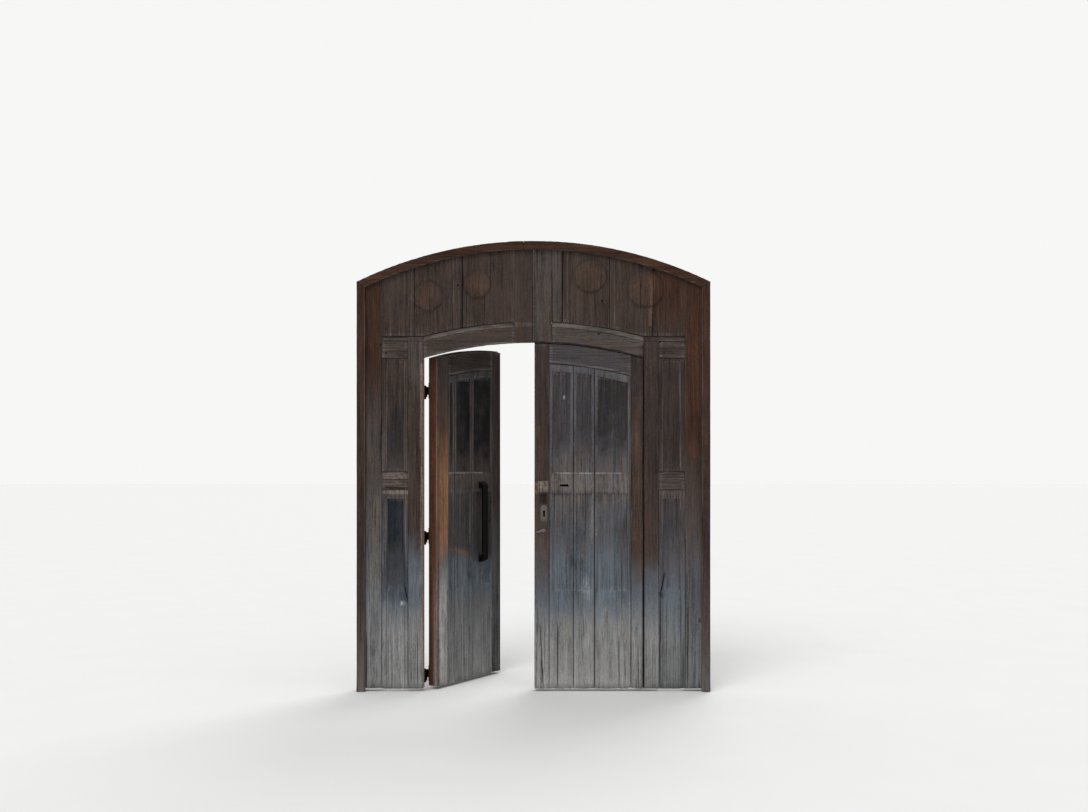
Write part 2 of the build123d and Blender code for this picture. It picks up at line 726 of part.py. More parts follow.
def wicket_leaf(hanging_width, boards):
    """The timber and straps of one wicket leaf, by name, on the right side."""
    hanging_edge = wicket_edge - hanging_width
    pieces = {}
    pieces["hanging_stile"] = wicket_stile(hanging_edge, wicket_edge, hanging_edge, -1)
    pieces["meeting_stile"] = wicket_stile(wicket_meeting_gap / 2, wicket_stile_edge,
                                           wicket_stile_edge, 1)
    pieces["top_rail"] = wicket_top_rail(wicket_stile_edge, hanging_edge)
    places = seam_places(wicket_stile_edge, hanging_edge, boards)
    for number in range(len(boards)):
        board = wicket_board(places[number], places[number + 1], number == 0)
        pieces[f"board_{number + 1}"] = board
    start = wicket_meeting_gap / 2 + arris
    end = wicket_half_width - ledge_end_clearance
    between = (wicket_stile_edge, hanging_edge)
    pieces["ledges"] = Compound([
        ledge(start, end, height, wicket_ledge_thickness, between)
        for height in wicket_ledge_heights])
    pieces["straps"] = Compound([
        strap(wicket_pivot, height + strap_inset, wicket_strap_length, wicket_ledge_back)
        for height in wicket_ledge_heights])
    return pieces


# Lock, keeper and plate on the right wicket

def keyhole(y0, y1):
    """The cutter for the keyhole: a round above a narrower slot."""
    top = lock_height + keyhole_spread / 2
    foot = lock_height - keyhole_spread / 2
    slot = block(keyhole_place - keyhole_foot_radius, keyhole_place + keyhole_foot_radius,
                 y0, y1, foot, top)
    slot = slot + across(keyhole_place, foot, y0, y1, keyhole_foot_radius)
    return slot + across(keyhole_place, top, y0, y1, keyhole_top_radius)


def escutcheon():
    """The plate round the keyhole, with an arched top."""
    half = escutcheon_width / 2
    shoulder = lock_height + escutcheon_rise - half
    front = leaf_front - escutcheon_thickness
    plate = block(keyhole_place - half, keyhole_place + half, front, leaf_front,
                  lock_height - escutcheon_drop, shoulder)
    plate = plate + across(keyhole_place, shoulder, front, leaf_front, half)
    return plate - keyhole(front - PAST, leaf_front + PAST)


def lock_bolt():
    """The lock's bolt, drawn back so that its nose is level with the case."""
    half = lock_bolt_thickness / 2
    bolt = block(lock_x0, lock_x0 + lock_bolt_length, lock_bolt_y - half, lock_bolt_y + half,
                 lock_height - lock_bolt_height / 2, lock_height + lock_bolt_height / 2)
    nose = bolt.edges().filter_by(Axis.Z).group_by(Axis.X)[0]
    return chamfer(nose, iron_chamfer)


def bolt_channel(x0, x1):
    """The space that the lock bolt slides in."""
    half = lock_bolt_thickness / 2 + lock_bolt_clearance
    tall = lock_bolt_height / 2 + lock_bolt_clearance
    return block(x0, x1, lock_bolt_y - half, lock_bolt_y + half, lock_height - tall, lock_height + tall)


def lock_case():
    """The iron case of the rim lock on the back of the meeting stile."""
    x1 = lock_x0 + lock_case_width
    half = lock_case_height / 2
    body = block(lock_x0, x1, leaf_back, leaf_back + lock_case_depth,
                 lock_height - half, lock_height + half)
    rim = body.edges().group_by(Axis.Y)[-1]
    body = chamfer(rim, case_chamfer)
    body = body - bolt_channel(lock_x0 - PAST, lock_x0 + lock_bolt_length + lock_bolt_clearance)
    return body - keyhole(leaf_back - PAST, lock_bolt_y)


def lock_keeper():
    """The box on the other wicket that takes the bolt, on the right side before it is mirrored."""
    x1 = lock_x0 + keeper_width
    half = keeper_tall / 2
    body = block(lock_x0, x1, leaf_back, leaf_back + lock_case_depth,
                 lock_height - half, lock_height + half)
    rim = body.edges().group_by(Axis.Y)[-1]
    body = chamfer(rim, case_chamfer)
    return body - bolt_channel(lock_x0 - PAST, x1 - keeper_wall)


def lock_side_stile(stile):
    """The lock's meeting stile, with the keyhole through it and the recess of an older lock."""
    stile = stile - keyhole(leaf_front - PAST, leaf_back + PAST)
    foot = lock_height + old_lock_rise
    return stile - block(old_lock_place - old_lock_width / 2, old_lock_place + old_lock_width / 2,
                         leaf_front - PAST, leaf_front + old_lock_depth, foot, foot + old_lock_tall)


def letter_slot():
    """The cutter for the small letter slot in the lock band."""
    foot = lock_band_foot + letter_slot_rise - letter_slot_tall / 2
    return block(letter_slot_place - letter_slot_width / 2, letter_slot_place + letter_slot_width / 2,
                 leaf_front - PAST, board_back + PAST, foot, foot + letter_slot_tall)


def pull_handle():
    """A flat bar bent into a pull, with its two feet on the meeting side of the left wicket."""
    back = leaf_front
    front = leaf_front - handle_reach
    inside = front + handle_thickness
    foot = handle_foot_height
    top = foot + handle_length
    outline = Polyline((back, foot), (front, foot + handle_reach / 2),
                       (front, top - handle_reach / 2), (back, top), (back, top - handle_foot_length),
                       (inside, top - handle_foot_length), (inside, foot + handle_foot_length),
                       (back, foot + handle_foot_length), close=True)
    bar = extrude(Plane.YZ * make_face(outline), handle_width)
    bar = Pos(handle_place - handle_width / 2, 0, 0) * bar
    edges = bar.edges().filter_by(Axis.X)
    bar = fillet(edges.group_by(Axis.Y)[0], handle_bend_radius)
    hollows = [edge for edge in bar.edges().filter_by(Axis.X)
               if abs(edge.center().Y - inside) < handle_thickness / 2
               and abs(edge.center().Z - (foot + top) / 2) < handle_length / 2 - handle_foot_length + PAST]
    return fillet(hollows, handle_bend_radius / 2)


# Put the gate together

nodes = {}


def place(prefix, pieces, left, swing=None):
    """Name the pieces, mirror those of the left side, and turn an open wicket on its pins."""
    for name, piece in pieces.items():
        if left:
            piece = piece.mirror(Plane.YZ)
        if swing:
            pivot, angle = swing
            piece = piece.rotate(Axis((pivot[0], pivot[1], 0), (0, 0, 1)), angle)
        nodes[prefix + name] = piece


jamb = post()
place("right_", {"jamb": jamb}, False)
place("left_", {"jamb": jamb}, True)
nodes["right_head"] = head_half(True)
nodes["left_head"] = head_half(False).mirror(Plane.YZ)

jamb_pins = [pintle(leaf_pivot, height + strap_inset, frame_back)
             for height in (foot_ledge_height, mid_ledge_height, transom_ledge_height)]
nodes["jamb_pintles"] = Compound(jamb_pins + [pin.mirror(Plane.YZ) for pin in jamb_pins])
keeper = rod_guide(keeper_height, frame_back, keeper_clearance)
nodes["head_keepers"] = Compound([keeper, keeper.mirror(Plane.YZ)])

place("right_leaf_", big_leaf(right_upper_boards, right_discs, right_reeds), False)
place("left_leaf_", big_leaf(left_upper_boards, left_discs, left_reeds), True)
place("right_leaf_", {"bolt": rod_bolt()}, False)
place("left_leaf_", {"bolt": rod_bolt()}, True)

right_wicket = wicket_leaf(right_hanging_stile_width, right_wicket_boards)
right_wicket["meeting_stile"] = lock_side_stile(right_wicket["meeting_stile"])
right_wicket["board_1"] = right_wicket["board_1"] - letter_slot()
right_wicket["escutcheon"] = escutcheon()
right_wicket["lock_case"] = lock_case()
right_wicket["lock_bolt"] = lock_bolt()
place("right_wicket_", right_wicket, False)

left_wicket = wicket_leaf(left_hanging_stile_width, left_wicket_boards)
left_wicket["pull_handle"] = pull_handle()
left_wicket["lock_keeper"] = lock_keeper()
left_pivot = (-wicket_pivot[0], wicket_pivot[1])
place("left_wicket_", left_wicket, True, (left_pivot, left_wicket_rest_angle))

for name, piece in nodes.items():
    export_step(piece, f"parts/{name}.step")
print(len(nodes), "pieces written")
print("leaf pivot", leaf_pivot, "wicket pivot", wicket_pivot, "rod", rod_place, rod_y)
print("lock bolt", lock_x0, lock_bolt_y, "shoulder", round(shoulder_height, 2))
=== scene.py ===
# %% [markdown]
# # An old carriage gate with two wickets
# The real gate is a joiner's work: stiles, rails and boards of a dark hardwood, cut to an arch, moulded by
# hand and left in the weather for a very long time. The imported model has every piece in its place, so this
# script adds what only rain, sun and hands can add: worn arrises, open cracks, ragged feet, proud grain, and
# colours that run from brown under the arch to bleached grey near the ground. Light and shade are painted
# into
# some colours too: painted shade in the darker tones high up, the sunk fields, the joints and inner corners,
# and painted highlights on bevels and mouldings.

# %% Load the imported model
import json
import math
import random

import bmesh
import bpy
from mathutils import Matrix, Vector, noise


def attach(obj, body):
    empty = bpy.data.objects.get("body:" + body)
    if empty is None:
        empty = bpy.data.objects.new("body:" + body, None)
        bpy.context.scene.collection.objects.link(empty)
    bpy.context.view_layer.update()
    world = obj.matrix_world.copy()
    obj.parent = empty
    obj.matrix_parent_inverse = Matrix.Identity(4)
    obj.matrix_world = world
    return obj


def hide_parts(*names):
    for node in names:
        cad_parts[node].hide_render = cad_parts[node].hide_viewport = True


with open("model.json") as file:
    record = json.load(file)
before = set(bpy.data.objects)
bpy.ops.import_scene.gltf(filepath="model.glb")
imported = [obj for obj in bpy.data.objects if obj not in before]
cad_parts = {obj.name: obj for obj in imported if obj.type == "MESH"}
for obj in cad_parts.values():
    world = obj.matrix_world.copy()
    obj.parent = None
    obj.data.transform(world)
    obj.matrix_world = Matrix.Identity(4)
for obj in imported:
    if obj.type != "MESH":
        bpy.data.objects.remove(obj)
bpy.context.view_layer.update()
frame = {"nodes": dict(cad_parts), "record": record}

# %% [markdown]
# ## Writing a finish as sums
# A finish is a web of small nodes. Wiring them one by one hides the idea, so a small class wraps a socket and
# lets the ordinary signs add the Math nodes: `1 - mask` or `grain * 0.4 + dirt`. Any other node, such as a
# noise or a ramp, comes from one method that takes its sockets first and its settings after.


# %% Values that know their own nodes
class Flow:
    """A value on its way between two nodes of a finish."""

    def __init__(self, finish, socket):
        self.finish = finish
        self.socket = socket

    def other(self, name):
        """Another output of the same node."""
        return Flow(self.finish, self.socket.node.outputs[name])

    def __add__(self, value):
        return self.finish.maths("ADD", self, value)

    def __sub__(self, value):
        return self.finish.maths("SUBTRACT", self, value)

    def __rsub__(self, value):
        return self.finish.maths("SUBTRACT", value, self)

    def __mul__(self, value):
        return self.finish.maths("MULTIPLY", self, value)

    __radd__ = __add__
    __rmul__ = __mul__


print("sums and products are ready")


# %% A finish, built node by node
class Finish:
    """The nodes of one material, or of the world."""

    def __init__(self, owner):
        self.owner = owner
        owner.use_nodes = True
        self.tree = owner.node_tree
        self.tree.nodes.clear()

    def node(self, kind, sockets=None, settings=None, out=0):
        """Any node: its settings are set first, then the values or links of its sockets."""
        made = self.tree.nodes.new("ShaderNode" + kind)
        for name, value in (settings or {}).items():
            if name == "stops":
                self.set_stops(made.color_ramp, value)
            else:
                setattr(made, name, value)
        for key, value in (sockets or {}).items():
            if isinstance(value, Flow):
                self.tree.links.new(value.socket, made.inputs[key])
            else:
                made.inputs[key].default_value = value
        return Flow(self, made.outputs[out]) if made.outputs else None

    def set_stops(self, ramp, stops):
        """Places the stops of a colour ramp, which starts with two of its own."""
        while len(ramp.elements) < len(stops):
            ramp.elements.new(1.0)
        for element, (place, tone) in zip(ramp.elements, stops):
            element.position = place
            element.color = tone

    def maths(self, operation, first, second=0.0, clamped=False):
        """One Math node."""
        return self.node("Math", {0: first, 1: second}, {"operation": operation, "use_clamp": clamped})

    def rise(self, value, low, high):
        """0 up to low, 1 from high on, with an eased rise between; low may be the greater."""
        start, end = (0.0, 1.0) if low < high else (1.0, 0.0)
        sockets = {0: value, 1: min(low, high), 2: max(low, high), 3: start, 4: end}
        return self.node("MapRange", sockets, {"interpolation_type": "SMOOTHSTEP"})

    def held(self, mask, amount):
        """A mask made stronger or weaker, and held between 0 and 1."""
        return self.maths("MULTIPLY", mask, amount, clamped=True)

    def between(self, value, low, high, soft):
        """1 between two limits, with soft ends."""
        lower = self.rise(value, low - soft, low + soft)
        return lower * self.rise(value, high + soft, high - soft)

    def mix(self, share, under, over):
        """A colour that goes from one to the other with the share."""
        return self.node("Mix", {0: share, 6: under, 7: over}, {"data_type": "RGBA"}, out=2)

    def brighten(self, colour, amount):
        """A colour made lighter or darker by a factor."""
        return self.node("VectorMath", {0: colour, 3: amount}, {"operation": "SCALE"})

    def noise(self, point, detail=2.0, roughness=0.5):
        """Noise around zero, about one unit from its darkest to its lightest."""
        sockets = {"Vector": point, "Scale": 1.0, "Detail": detail, "Roughness": roughness}
        return (self.node("TexNoise", sockets) - 0.5) * 2.0

    def surface(self, colour, rough, height, depth, shine=0.12):
        """The shader itself, with a bump in metres."""
        bump = self.node("Bump", {"Distance": depth, "Height": height})
        sockets = {"Base Color": colour, "Roughness": rough, "Normal": bump, "Specular IOR Level": shine}
        shader = self.node("BsdfPrincipled", sockets)
        self.node("OutputMaterial", {"Surface": shader})
        return self.owner


print("the finish writer is ready")

# %% [markdown]
# ## The palette
# Weathered hardwood has few colours. Rain washes the lower part to a bleached grey, with a cold blue band
# where it dries last. Under the arch the old brown stays, darkened with painted shade, and the sunk fields
# are nearly black with painted shade.
# The tones are written as a screen shows them, and turned into linear values.


# %% Tones of the old timber and iron
def linear(screen):
    """A screen colour of 0 to 255 as linear values."""
    parts = [c / 255 for c in screen]
    parts = [c / 12.92 if c < 0.04045 else ((c + 0.055) / 1.055) ** 2.4 for c in parts]
    return (*parts, 1.0)


SCREEN_TONES = {
    "chalk": (152, 152, 150),
    "bleached": (126, 127, 126),
    "silvered": (114, 116, 117),
    "ashen": (102, 104, 104),
    "rain": (90, 98, 105),
    "storm": (58, 62, 68),
    "slate": (81, 81, 84),
    "driftwood": (92, 86, 83),
    "clay": (74, 67, 63),
    "tan": (74, 58, 48),
    "umber": (62, 52, 47),
    "peat": (55, 47, 44),
    "russet": (60, 41, 32),
    "ruddy": (78, 57, 45),
    "dusk": (61, 58, 60),
    "gloom": (66, 63, 64),
    "night": (46, 43, 44),
    "ink": (30, 35, 39),
    "pitch": (19, 18, 20),
    "sheltered": (134, 99, 76),
    "bark": (80, 50, 35),
    "cream": (130, 117, 107),
    "bevel": (116, 110, 108),
    "edge": (120, 114, 109),
    "indoors": (88, 67, 52),
    "rust": (84, 49, 32),
    "iron": (14, 12, 11),
    "grey_iron": (92, 88, 83),
    # The darkest tone is the black of shade in gaps, joints and cracks: it paints shade there, and painted
    # shadows under rails, along the arch and round the discs.
    "gap": (14, 11, 10),
}
TONE = {name: linear(screen) for name, screen in SCREEN_TONES.items()}
WARM = (1.07, 0.98, 0.92, 1.0)
COOL = (0.95, 0.99, 1.06, 1.0)
GATE_TOP = 2.8
print(len(TONE), "tones")

# %% [markdown]
# ## Where a point lies on the gate
# Grain and stains belong to places on the gate, so every finish starts from the place of a point. The packed
# wicket stands open, which would lay its grain askew, so its finish first swings the point back shut about
# the hinge. Noise that is squeezed across the grain and drawn out along it turns into streaks.

# %% Places on the gate
JOINTS = {joint["name"]: joint for joint in frame["record"]["behaviour"]["joints"]}
WICKET_HINGE = JOINTS["left_wicket_hinge"]
WICKET_TURN = math.radians(-WICKET_HINGE["range_deg"][0])
WICKET_PIN = Vector((*WICKET_HINGE["pos_m"][:2], 0.0))
CLOSED = Matrix.Rotation(-WICKET_TURN, 4, "Z")
SEED_STEP = (3.7, 1.3, 7.9)


def gate_point(finish, coordinate, turned, moved=True):
    """The object coordinate, with the open wicket swung back shut, so that its pattern lies straight."""
    point = finish.node("TexCoord", out=coordinate)
    if not turned:
        return point
    place = WICKET_PIN - CLOSED @ WICKET_PIN if moved else Vector()
    return finish.node("Mapping", {"Vector": point, "Location": place, "Rotation": (0, 0, -WICKET_TURN)})


def stretched(finish, point, along, across, length, seed):
    """A point whose unit is one streak, long in the direction of the grain."""
    scale = [1 / across] * 3
    scale["xyz".index(along)] = 1 / length
    sockets = {"Vector": point, "Scale": scale, "Location": [seed * step for step in SEED_STEP]}
    return finish.node("Mapping", sockets)


print("the open wicket is turned by", round(math.degrees(WICKET_TURN)), "degrees")

# %% [markdown]
# ## The grain of one plank
# Each plank gets a finish with a seed of its own. Seven noises make up its grain, from the broad run of the
# board to fine checks, and tones, stains and bump all follow the same ones. A wear mark and a crack mark are
# written into the mesh further down, where the planks are worked; the crack mark also carries painted shade
# in inner corners and joints.

# %% A finish that knows its grain
GRAIN = {  # width and length of one streak in metres, a seed, then the noise's detail and roughness
    "broad": (0.045, 0.9, 0, 1.0, 0.5),
    "streak": (0.01, 0.28, 11, 4.0, 0.62),
    "fine": (0.0028, 0.07, 23, 3.0, 0.7),
    "blot": (0.09, 0.14, 5, 5.0, 0.62),
    "speck": (0.008, 0.018, 31, 3.0, 0.7),
    "tint": (0.05, 0.12, 37, 4.0, 0.6),
    "check": (0.0045, 0.3, 41, 1.0, 0.5),
}
BACK = (0.002, 0.006)


class Plank(Finish):
    """The finish of one plank, with a point's place, the way its face looks, and its own grain."""

    def __init__(self, name, along, seed, turned):
        super().__init__(bpy.data.materials.new(name))
        point = gate_point(self, "Object", turned)
        normal = gate_point(self, "Normal", turned, moved=False)
        self.x = self.node("SeparateXYZ", {0: point})
        self.y, self.z = self.x.other("Y"), self.x.other("Z")
        outwards = self.node("SeparateXYZ", {0: normal}, out="Y")
        self.facing, self.tilt = self.maths("ABSOLUTE", outwards), outwards.other("Z")
        for word, (width, length, shift, detail, roughness) in GRAIN.items():
            place = stretched(self, point, along, width, length, seed + shift)
            setattr(self, word, self.noise(place, detail, roughness))
        for mark in ("wear", "crack"):
            setattr(self, mark, self.node("Attribute", None, {"attribute_name": mark}, "Fac"))
        self.inside = self.rise(self.y, *BACK) * self.rise(self.facing, 0.3, 0.6)
        self.street = 1.0 - self.inside

    def away_from(self, middle):
        """The distance on the gate's face from a middle, whatever the depth."""
        flat = self.node("CombineXYZ", {0: self.x, 1: self.z})
        return self.node("VectorMath", {0: flat, 1: (*middle, 0)}, {"operation": "DISTANCE"}, out=1)


print(len(GRAIN), "noises to a plank")

# %% [markdown]
# ## The tone of the weather, with painted shade
# The height above the ground picks the tone from a ramp, and the streaks carry its limits up and down, as
# water does; the darker tones high up are partly painted shade. The sunk fields get a darker tone of painted
# shade. Brown and pale blots break the colour up, and a slow noise makes it warmer here and cooler there.

# %% Tones by height
SUNK = (-0.0285, -0.0225)
FIELD_FADE = 0.12


def weathered_and_shaded(wood, tones, field):
    """The colour that the weather and painted shade give a plank. field is its sunk part's foot, top and
    shade tone.
    """
    level = wood.z + wood.streak * 0.26 + wood.blot * 0.20 + wood.speck * 0.04
    stops = [(height / GATE_TOP, TONE[tone]) for height, tone in tones.items()]
    colour = wood.node("ValToRGB", {0: level * (1 / GATE_TOP)}, {"stops": stops})
    if field:
        foot, top, tone = field
        # The sunk part takes the field's darker tone: painted shade.
        sunk = wood.rise(wood.y, *SUNK) * wood.between(level, foot, top, FIELD_FADE)
        colour = wood.mix(wood.held(sunk, 0.92 + wood.blot * 0.7), colour, TONE[tone])
    brown = wood.rise(wood.blot + wood.streak * 0.5, 0.1, 0.7) * wood.rise(wood.z, 0.5, 1.1)
    colour = wood.mix(brown * 0.3, colour, TONE["russet"])
    pale = wood.rise(wood.blot * -1.0 + wood.streak * 0.4, 0.22, 0.8)
    colour = wood.mix(pale * 0.25, colour, TONE["edge"])
    warmth = 0.5 + wood.tint * (0.4 + wood.rise(wood.z, 0.4, 1.0) * 1.2)
    return wood.node("VectorMath", {0: colour, 1: wood.mix(warmth, COOL, WARM)}, {"operation": "MULTIPLY"})


print("the ramp of tones ends at", GATE_TOP, "m")

# %% [markdown]
# ## Marks that are known by their place
# A stain is an area whose soft limits wander with the blots, so that it looks soaked in; some stains are
# painted shadows and highlights. An arc is a line along the arch: a painted highlight on a moulding's edge,
# or painted shade in a joint. A disc is turned in the wood, with a ruddy bloom inside a rim of painted shade.
# Stains and arcs stay on the street side.

# %% Stains, arcs and discs
ARCH_MIDDLE = (0.0, -0.322)


def with_stains_and_painted_light(wood, colour, stains_and_painted_light):
    """Adds stains, painted shadows and painted highlights: left, right, foot, top, tone, strength, softness
    and, for a few, a slope.
    """
    for left, right, foot, top, tone, strength, soft, *slope in stains_and_painted_light:
        wander = wood.blot * soft + wood.speck * (soft * 0.6)
        height = wood.z + wander
        if slope:
            height = height - (wood.x - left) * slope[0]
        area = wood.between(wood.x + wander, left, right, soft) * wood.between(height, foot, top, soft)
        amount = strength * (1.0 + wood.speck * 1.2 + wood.streak * 0.6)
        colour = wood.mix(wood.held(area * wood.street, amount), colour, TONE[tone])
    return colour


def lined(wood, colour, arcs):
    """Adds lines along the arch, painted highlights and painted shade: inner and outer radius, tone and
    strength.
    """
    for inner, outer, tone, strength in arcs:
        away = wood.away_from(ARCH_MIDDLE) + wood.blot * 0.012
        line = wood.rise(away, inner - 0.004, inner + 0.006)
        line = line * wood.rise(away, outer + 0.003, outer - 0.003)
        amount = strength * (1.0 + wood.streak * 1.5)
        colour = wood.mix(wood.held(line * wood.street, amount), colour, TONE[tone])
    return colour


def bloomed_and_shaded(wood, colour, discs):
    """Adds discs, a ruddy bloom inside a rim of painted shade: middle across, middle up and radius. Also
    gives where the face has none.
    """
    plain = 1.0
    for across, up, radius in discs:
        away = wood.away_from((across, up)) + wood.blot * 0.02
        plain = wood.rise(away, radius + 0.012, radius + 0.03) * plain
        bloom = wood.rise(away, radius + 0.01, radius - 0.05)
        colour = wood.mix(wood.held(bloom, 0.42 + wood.blot * 0.9), colour, TONE["ruddy"])
        # The dark rim is painted shade.
        rim_shade = wood.between(away, radius - 0.009, radius + 0.007, 0.005)
        colour = wood.mix(rim_shade * (0.12 + wood.blot * 0.5), colour, TONE["gap"])
    return colour, plain


print("the arch's middle lies", -ARCH_MIDDLE[1], "m under the floor")

# %% [markdown]
# ## Bevels, edges and the whole timber finish
# The bevels get a painted highlight, weaker where they face up and near the ground. Sawn edges have a tone
# of their own, rubbed arrises are pale, and the back stays brown. Then the grain varies it all, and the
# cracks and checks go nearly black.

# %% The timber finish
BUMP_DEPTH = 0.0011
DARKEST = 0.25


def worn_and_highlighted(wood, colour, plain, edge_tone):
    """Adds the painted highlight on the bevels, the edges' tone, the rubbed arrises and the brown back."""
    # The bevels' pale tone is a painted highlight.
    bevel_highlight = wood.rise(wood.facing, 0.975, 0.9) * wood.rise(wood.facing, 0.15, 0.4)
    bevel_highlight = bevel_highlight * (1.0 - wood.rise(wood.tilt, 0.1, 0.4) * 0.75)
    bevel_highlight = bevel_highlight * (0.25 + wood.rise(wood.z, 0.7, 1.0) * 0.75)
    colour = wood.mix(bevel_highlight * (0.18 + wood.streak * 0.5) * plain, colour, TONE["bevel"])
    sawn = wood.rise(wood.facing, 0.35, 0.15) * wood.rise(wood.tilt, 0.5, 0.3)
    colour = wood.mix(sawn, colour, TONE[edge_tone])
    colour = wood.mix(wood.held(wood.wear, 0.18 + wood.streak * 0.5), colour, TONE["edge"])
    return wood.mix(wood.inside * (0.8 + wood.blot * 0.3), colour, TONE["indoors"])


def timber(name, tones, along, seed, turned=False, field=None, edge_tone="umber",
           stains_and_painted_light=(), discs=(), arcs=()):
    """A finish for one plank: tones by height, the grain's direction and seed, and the marks it bears."""
    wood = Plank(name, along, seed, turned)
    colour = lined(wood, with_stains_and_painted_light(wood, weathered_and_shaded(wood, tones, field), stains_and_painted_light), arcs)
    colour, plain = bloomed_and_shaded(wood, colour, discs)
    colour = worn_and_highlighted(wood, colour, plain, edge_tone)
    light = 1.0 + wood.broad * 0.40 + wood.streak * 0.95 + wood.fine * 0.7
    light = light + wood.blot * 0.45 + wood.speck * 0.5
    colour = wood.brighten(colour, wood.maths("MAXIMUM", light, DARKEST))
    check = wood.rise(wood.check, -0.44, -0.62)
    # Checks and the crack mark go nearly black; the crack mark holds painted shade in inner corners and
    # joints.
    dark = wood.maths("MAXIMUM", check * 0.6, wood.crack, clamped=True)
    colour = wood.mix(dark * 0.9, colour, TONE["gap"])
    rough = 0.84 + wood.fine * 0.10 - wood.wear * 0.1
    height = wood.fine * 0.5 + wood.streak * 0.5 + wood.speck * 0.3 - check
    return wood.surface(colour, rough, height, BUMP_DEPTH)


print("the timber finish is ready")

# %% [markdown]
# ## Iron
# The straps and pins are hand forged and never painted: nearly black, pitted, with rust where water sits.

# %% Forged iron
PITS_DEPTH = 0.0009
DIRT_FADE = 0.018


def forged(name, tone, rust_share, seed, shine, dirt=None):
    """Black iron with pits and rust; a pale tone makes it worn. dirt is a height and the tone below it."""
    iron = Finish(bpy.data.materials.new(name))
    point = iron.node("TexCoord", out="Object")
    normal = iron.node("TexCoord", out="Normal")
    pit = iron.noise(stretched(iron, point, "z", 0.004, 0.004, seed), 3.0, 0.6)
    scale = iron.noise(stretched(iron, point, "z", 0.03, 0.045, seed + 3), 3.0, 0.6)
    run = iron.noise(stretched(iron, point, "z", 0.012, 0.1, seed + 7), 2.0)
    up = iron.node("SeparateXYZ", {0: normal}, out="Z")
    rusty = iron.rise(scale + pit * 0.35 + up * 0.12, 0.75 - rust_share, 1.15 - rust_share)
    colour = iron.mix(rusty * 0.85, tone, TONE["rust"])
    if dirt:
        level, dirt_tone = dirt
        height = iron.node("SeparateXYZ", {0: point}, out="Z") + scale * 0.03
        below = iron.rise(height, level + DIRT_FADE, level - DIRT_FADE)
        colour = iron.mix(below * 0.85, colour, TONE[dirt_tone])
    colour = iron.brighten(colour, 1.0 + pit * 0.45 + run * 0.35)
    height = pit * 0.6 + scale * 0.6 + rusty * 0.3
    return iron.surface(colour, 0.6 + rusty * 0.3 + pit * 0.12, height, PITS_DEPTH, shine)


IRON = forged("forged_iron", TONE["iron"], 0.45, 2, 0.03)
WORN_IRON = forged("worn_iron_plate", TONE["grey_iron"], 0.4, 9, 0.1, (1.045, "umber"))
PALE_IRON = forged("handled_iron", TONE["bevel"], 0.18, 12, 0.15)
print("three iron finishes")

# %% [markdown]
# ## Which tone goes where
# Each plank is listed with its tones from the ground up: the weather's, with painted shade in the darker
# tones high up. Planks in the same place share a list.

# %% Tones of the left leaf
FOOT = {0.0: "bleached", 0.38: "bleached", 0.54: "rain"}
HIGH_BROWN = {2.1: "umber", 2.7: "umber"}
TONES = {
    "left_leaf_outer_stile": {0.0: "bleached", 0.4: "silvered", 0.7: "ashen", 1.0: "driftwood",
                              1.15: "driftwood", 1.3: "clay", 1.6: "clay", 2.0: "russet"},
    "left_leaf_inner_stile": FOOT | {0.74: "rain", 0.95: "umber", 1.7: "umber", 2.05: "clay"},
    "left_leaf_meeting_stile": HIGH_BROWN,
    "left_leaf_lower_board": FOOT | {0.66: "storm", 0.92: "slate", 1.2: "clay"},
    "left_leaf_upper_panel": {1.3: "clay", 1.5: "clay", 1.8: "umber"},
    **{f"left_leaf_upper_board_{n}": HIGH_BROWN for n in (1, 2, 3)},
    "left_leaf_mid_cross_rail": {1.22: "driftwood", 1.24: "umber", 1.3: "umber", 1.32: "clay"},
    "left_leaf_upper_cross_rail": {2.0: "umber", 2.2: "clay"},
    "left_leaf_arched_rail": {2.0: "clay", 2.25: "umber"},
}
print(len(TONES), "planks of the left leaf")

# %% Tones of the right leaf
HIGH_CLAY = {2.1: "clay", 2.7: "clay"}
TONES |= {
    "right_leaf_outer_stile": {0.0: "silvered", 0.35: "ashen", 0.55: "slate", 0.75: "slate",
                               1.0: "clay", 1.35: "umber", 1.6: "russet"},
    "right_leaf_inner_stile": FOOT | {0.7: "slate", 0.85: "umber", 1.7: "peat", 2.1: "umber"},
    "right_leaf_meeting_stile": HIGH_CLAY,
    "right_leaf_lower_board": {0.0: "ashen", 0.38: "ashen", 0.54: "rain", 0.74: "slate",
                               1.0: "dusk", 1.2: "clay"},
    "right_leaf_upper_panel": {1.3: "clay", 1.5: "umber", 2.0: "peat"},
    "right_leaf_upper_board_1": HIGH_CLAY,
    **{f"right_leaf_upper_board_{n}": HIGH_BROWN for n in (2, 3)},
    "right_leaf_upper_board_4": {2.1: "umber", 2.4: "russet"},
    "right_leaf_mid_cross_rail": {1.22: "clay", 1.25: "umber", 1.32: "clay"},
    "right_leaf_upper_cross_rail": {2.0: "umber", 2.2: "clay"},
    "right_leaf_arched_rail": {2.0: "clay", 2.25: "clay"},
}
print(len(TONES), "planks of the two leaves")

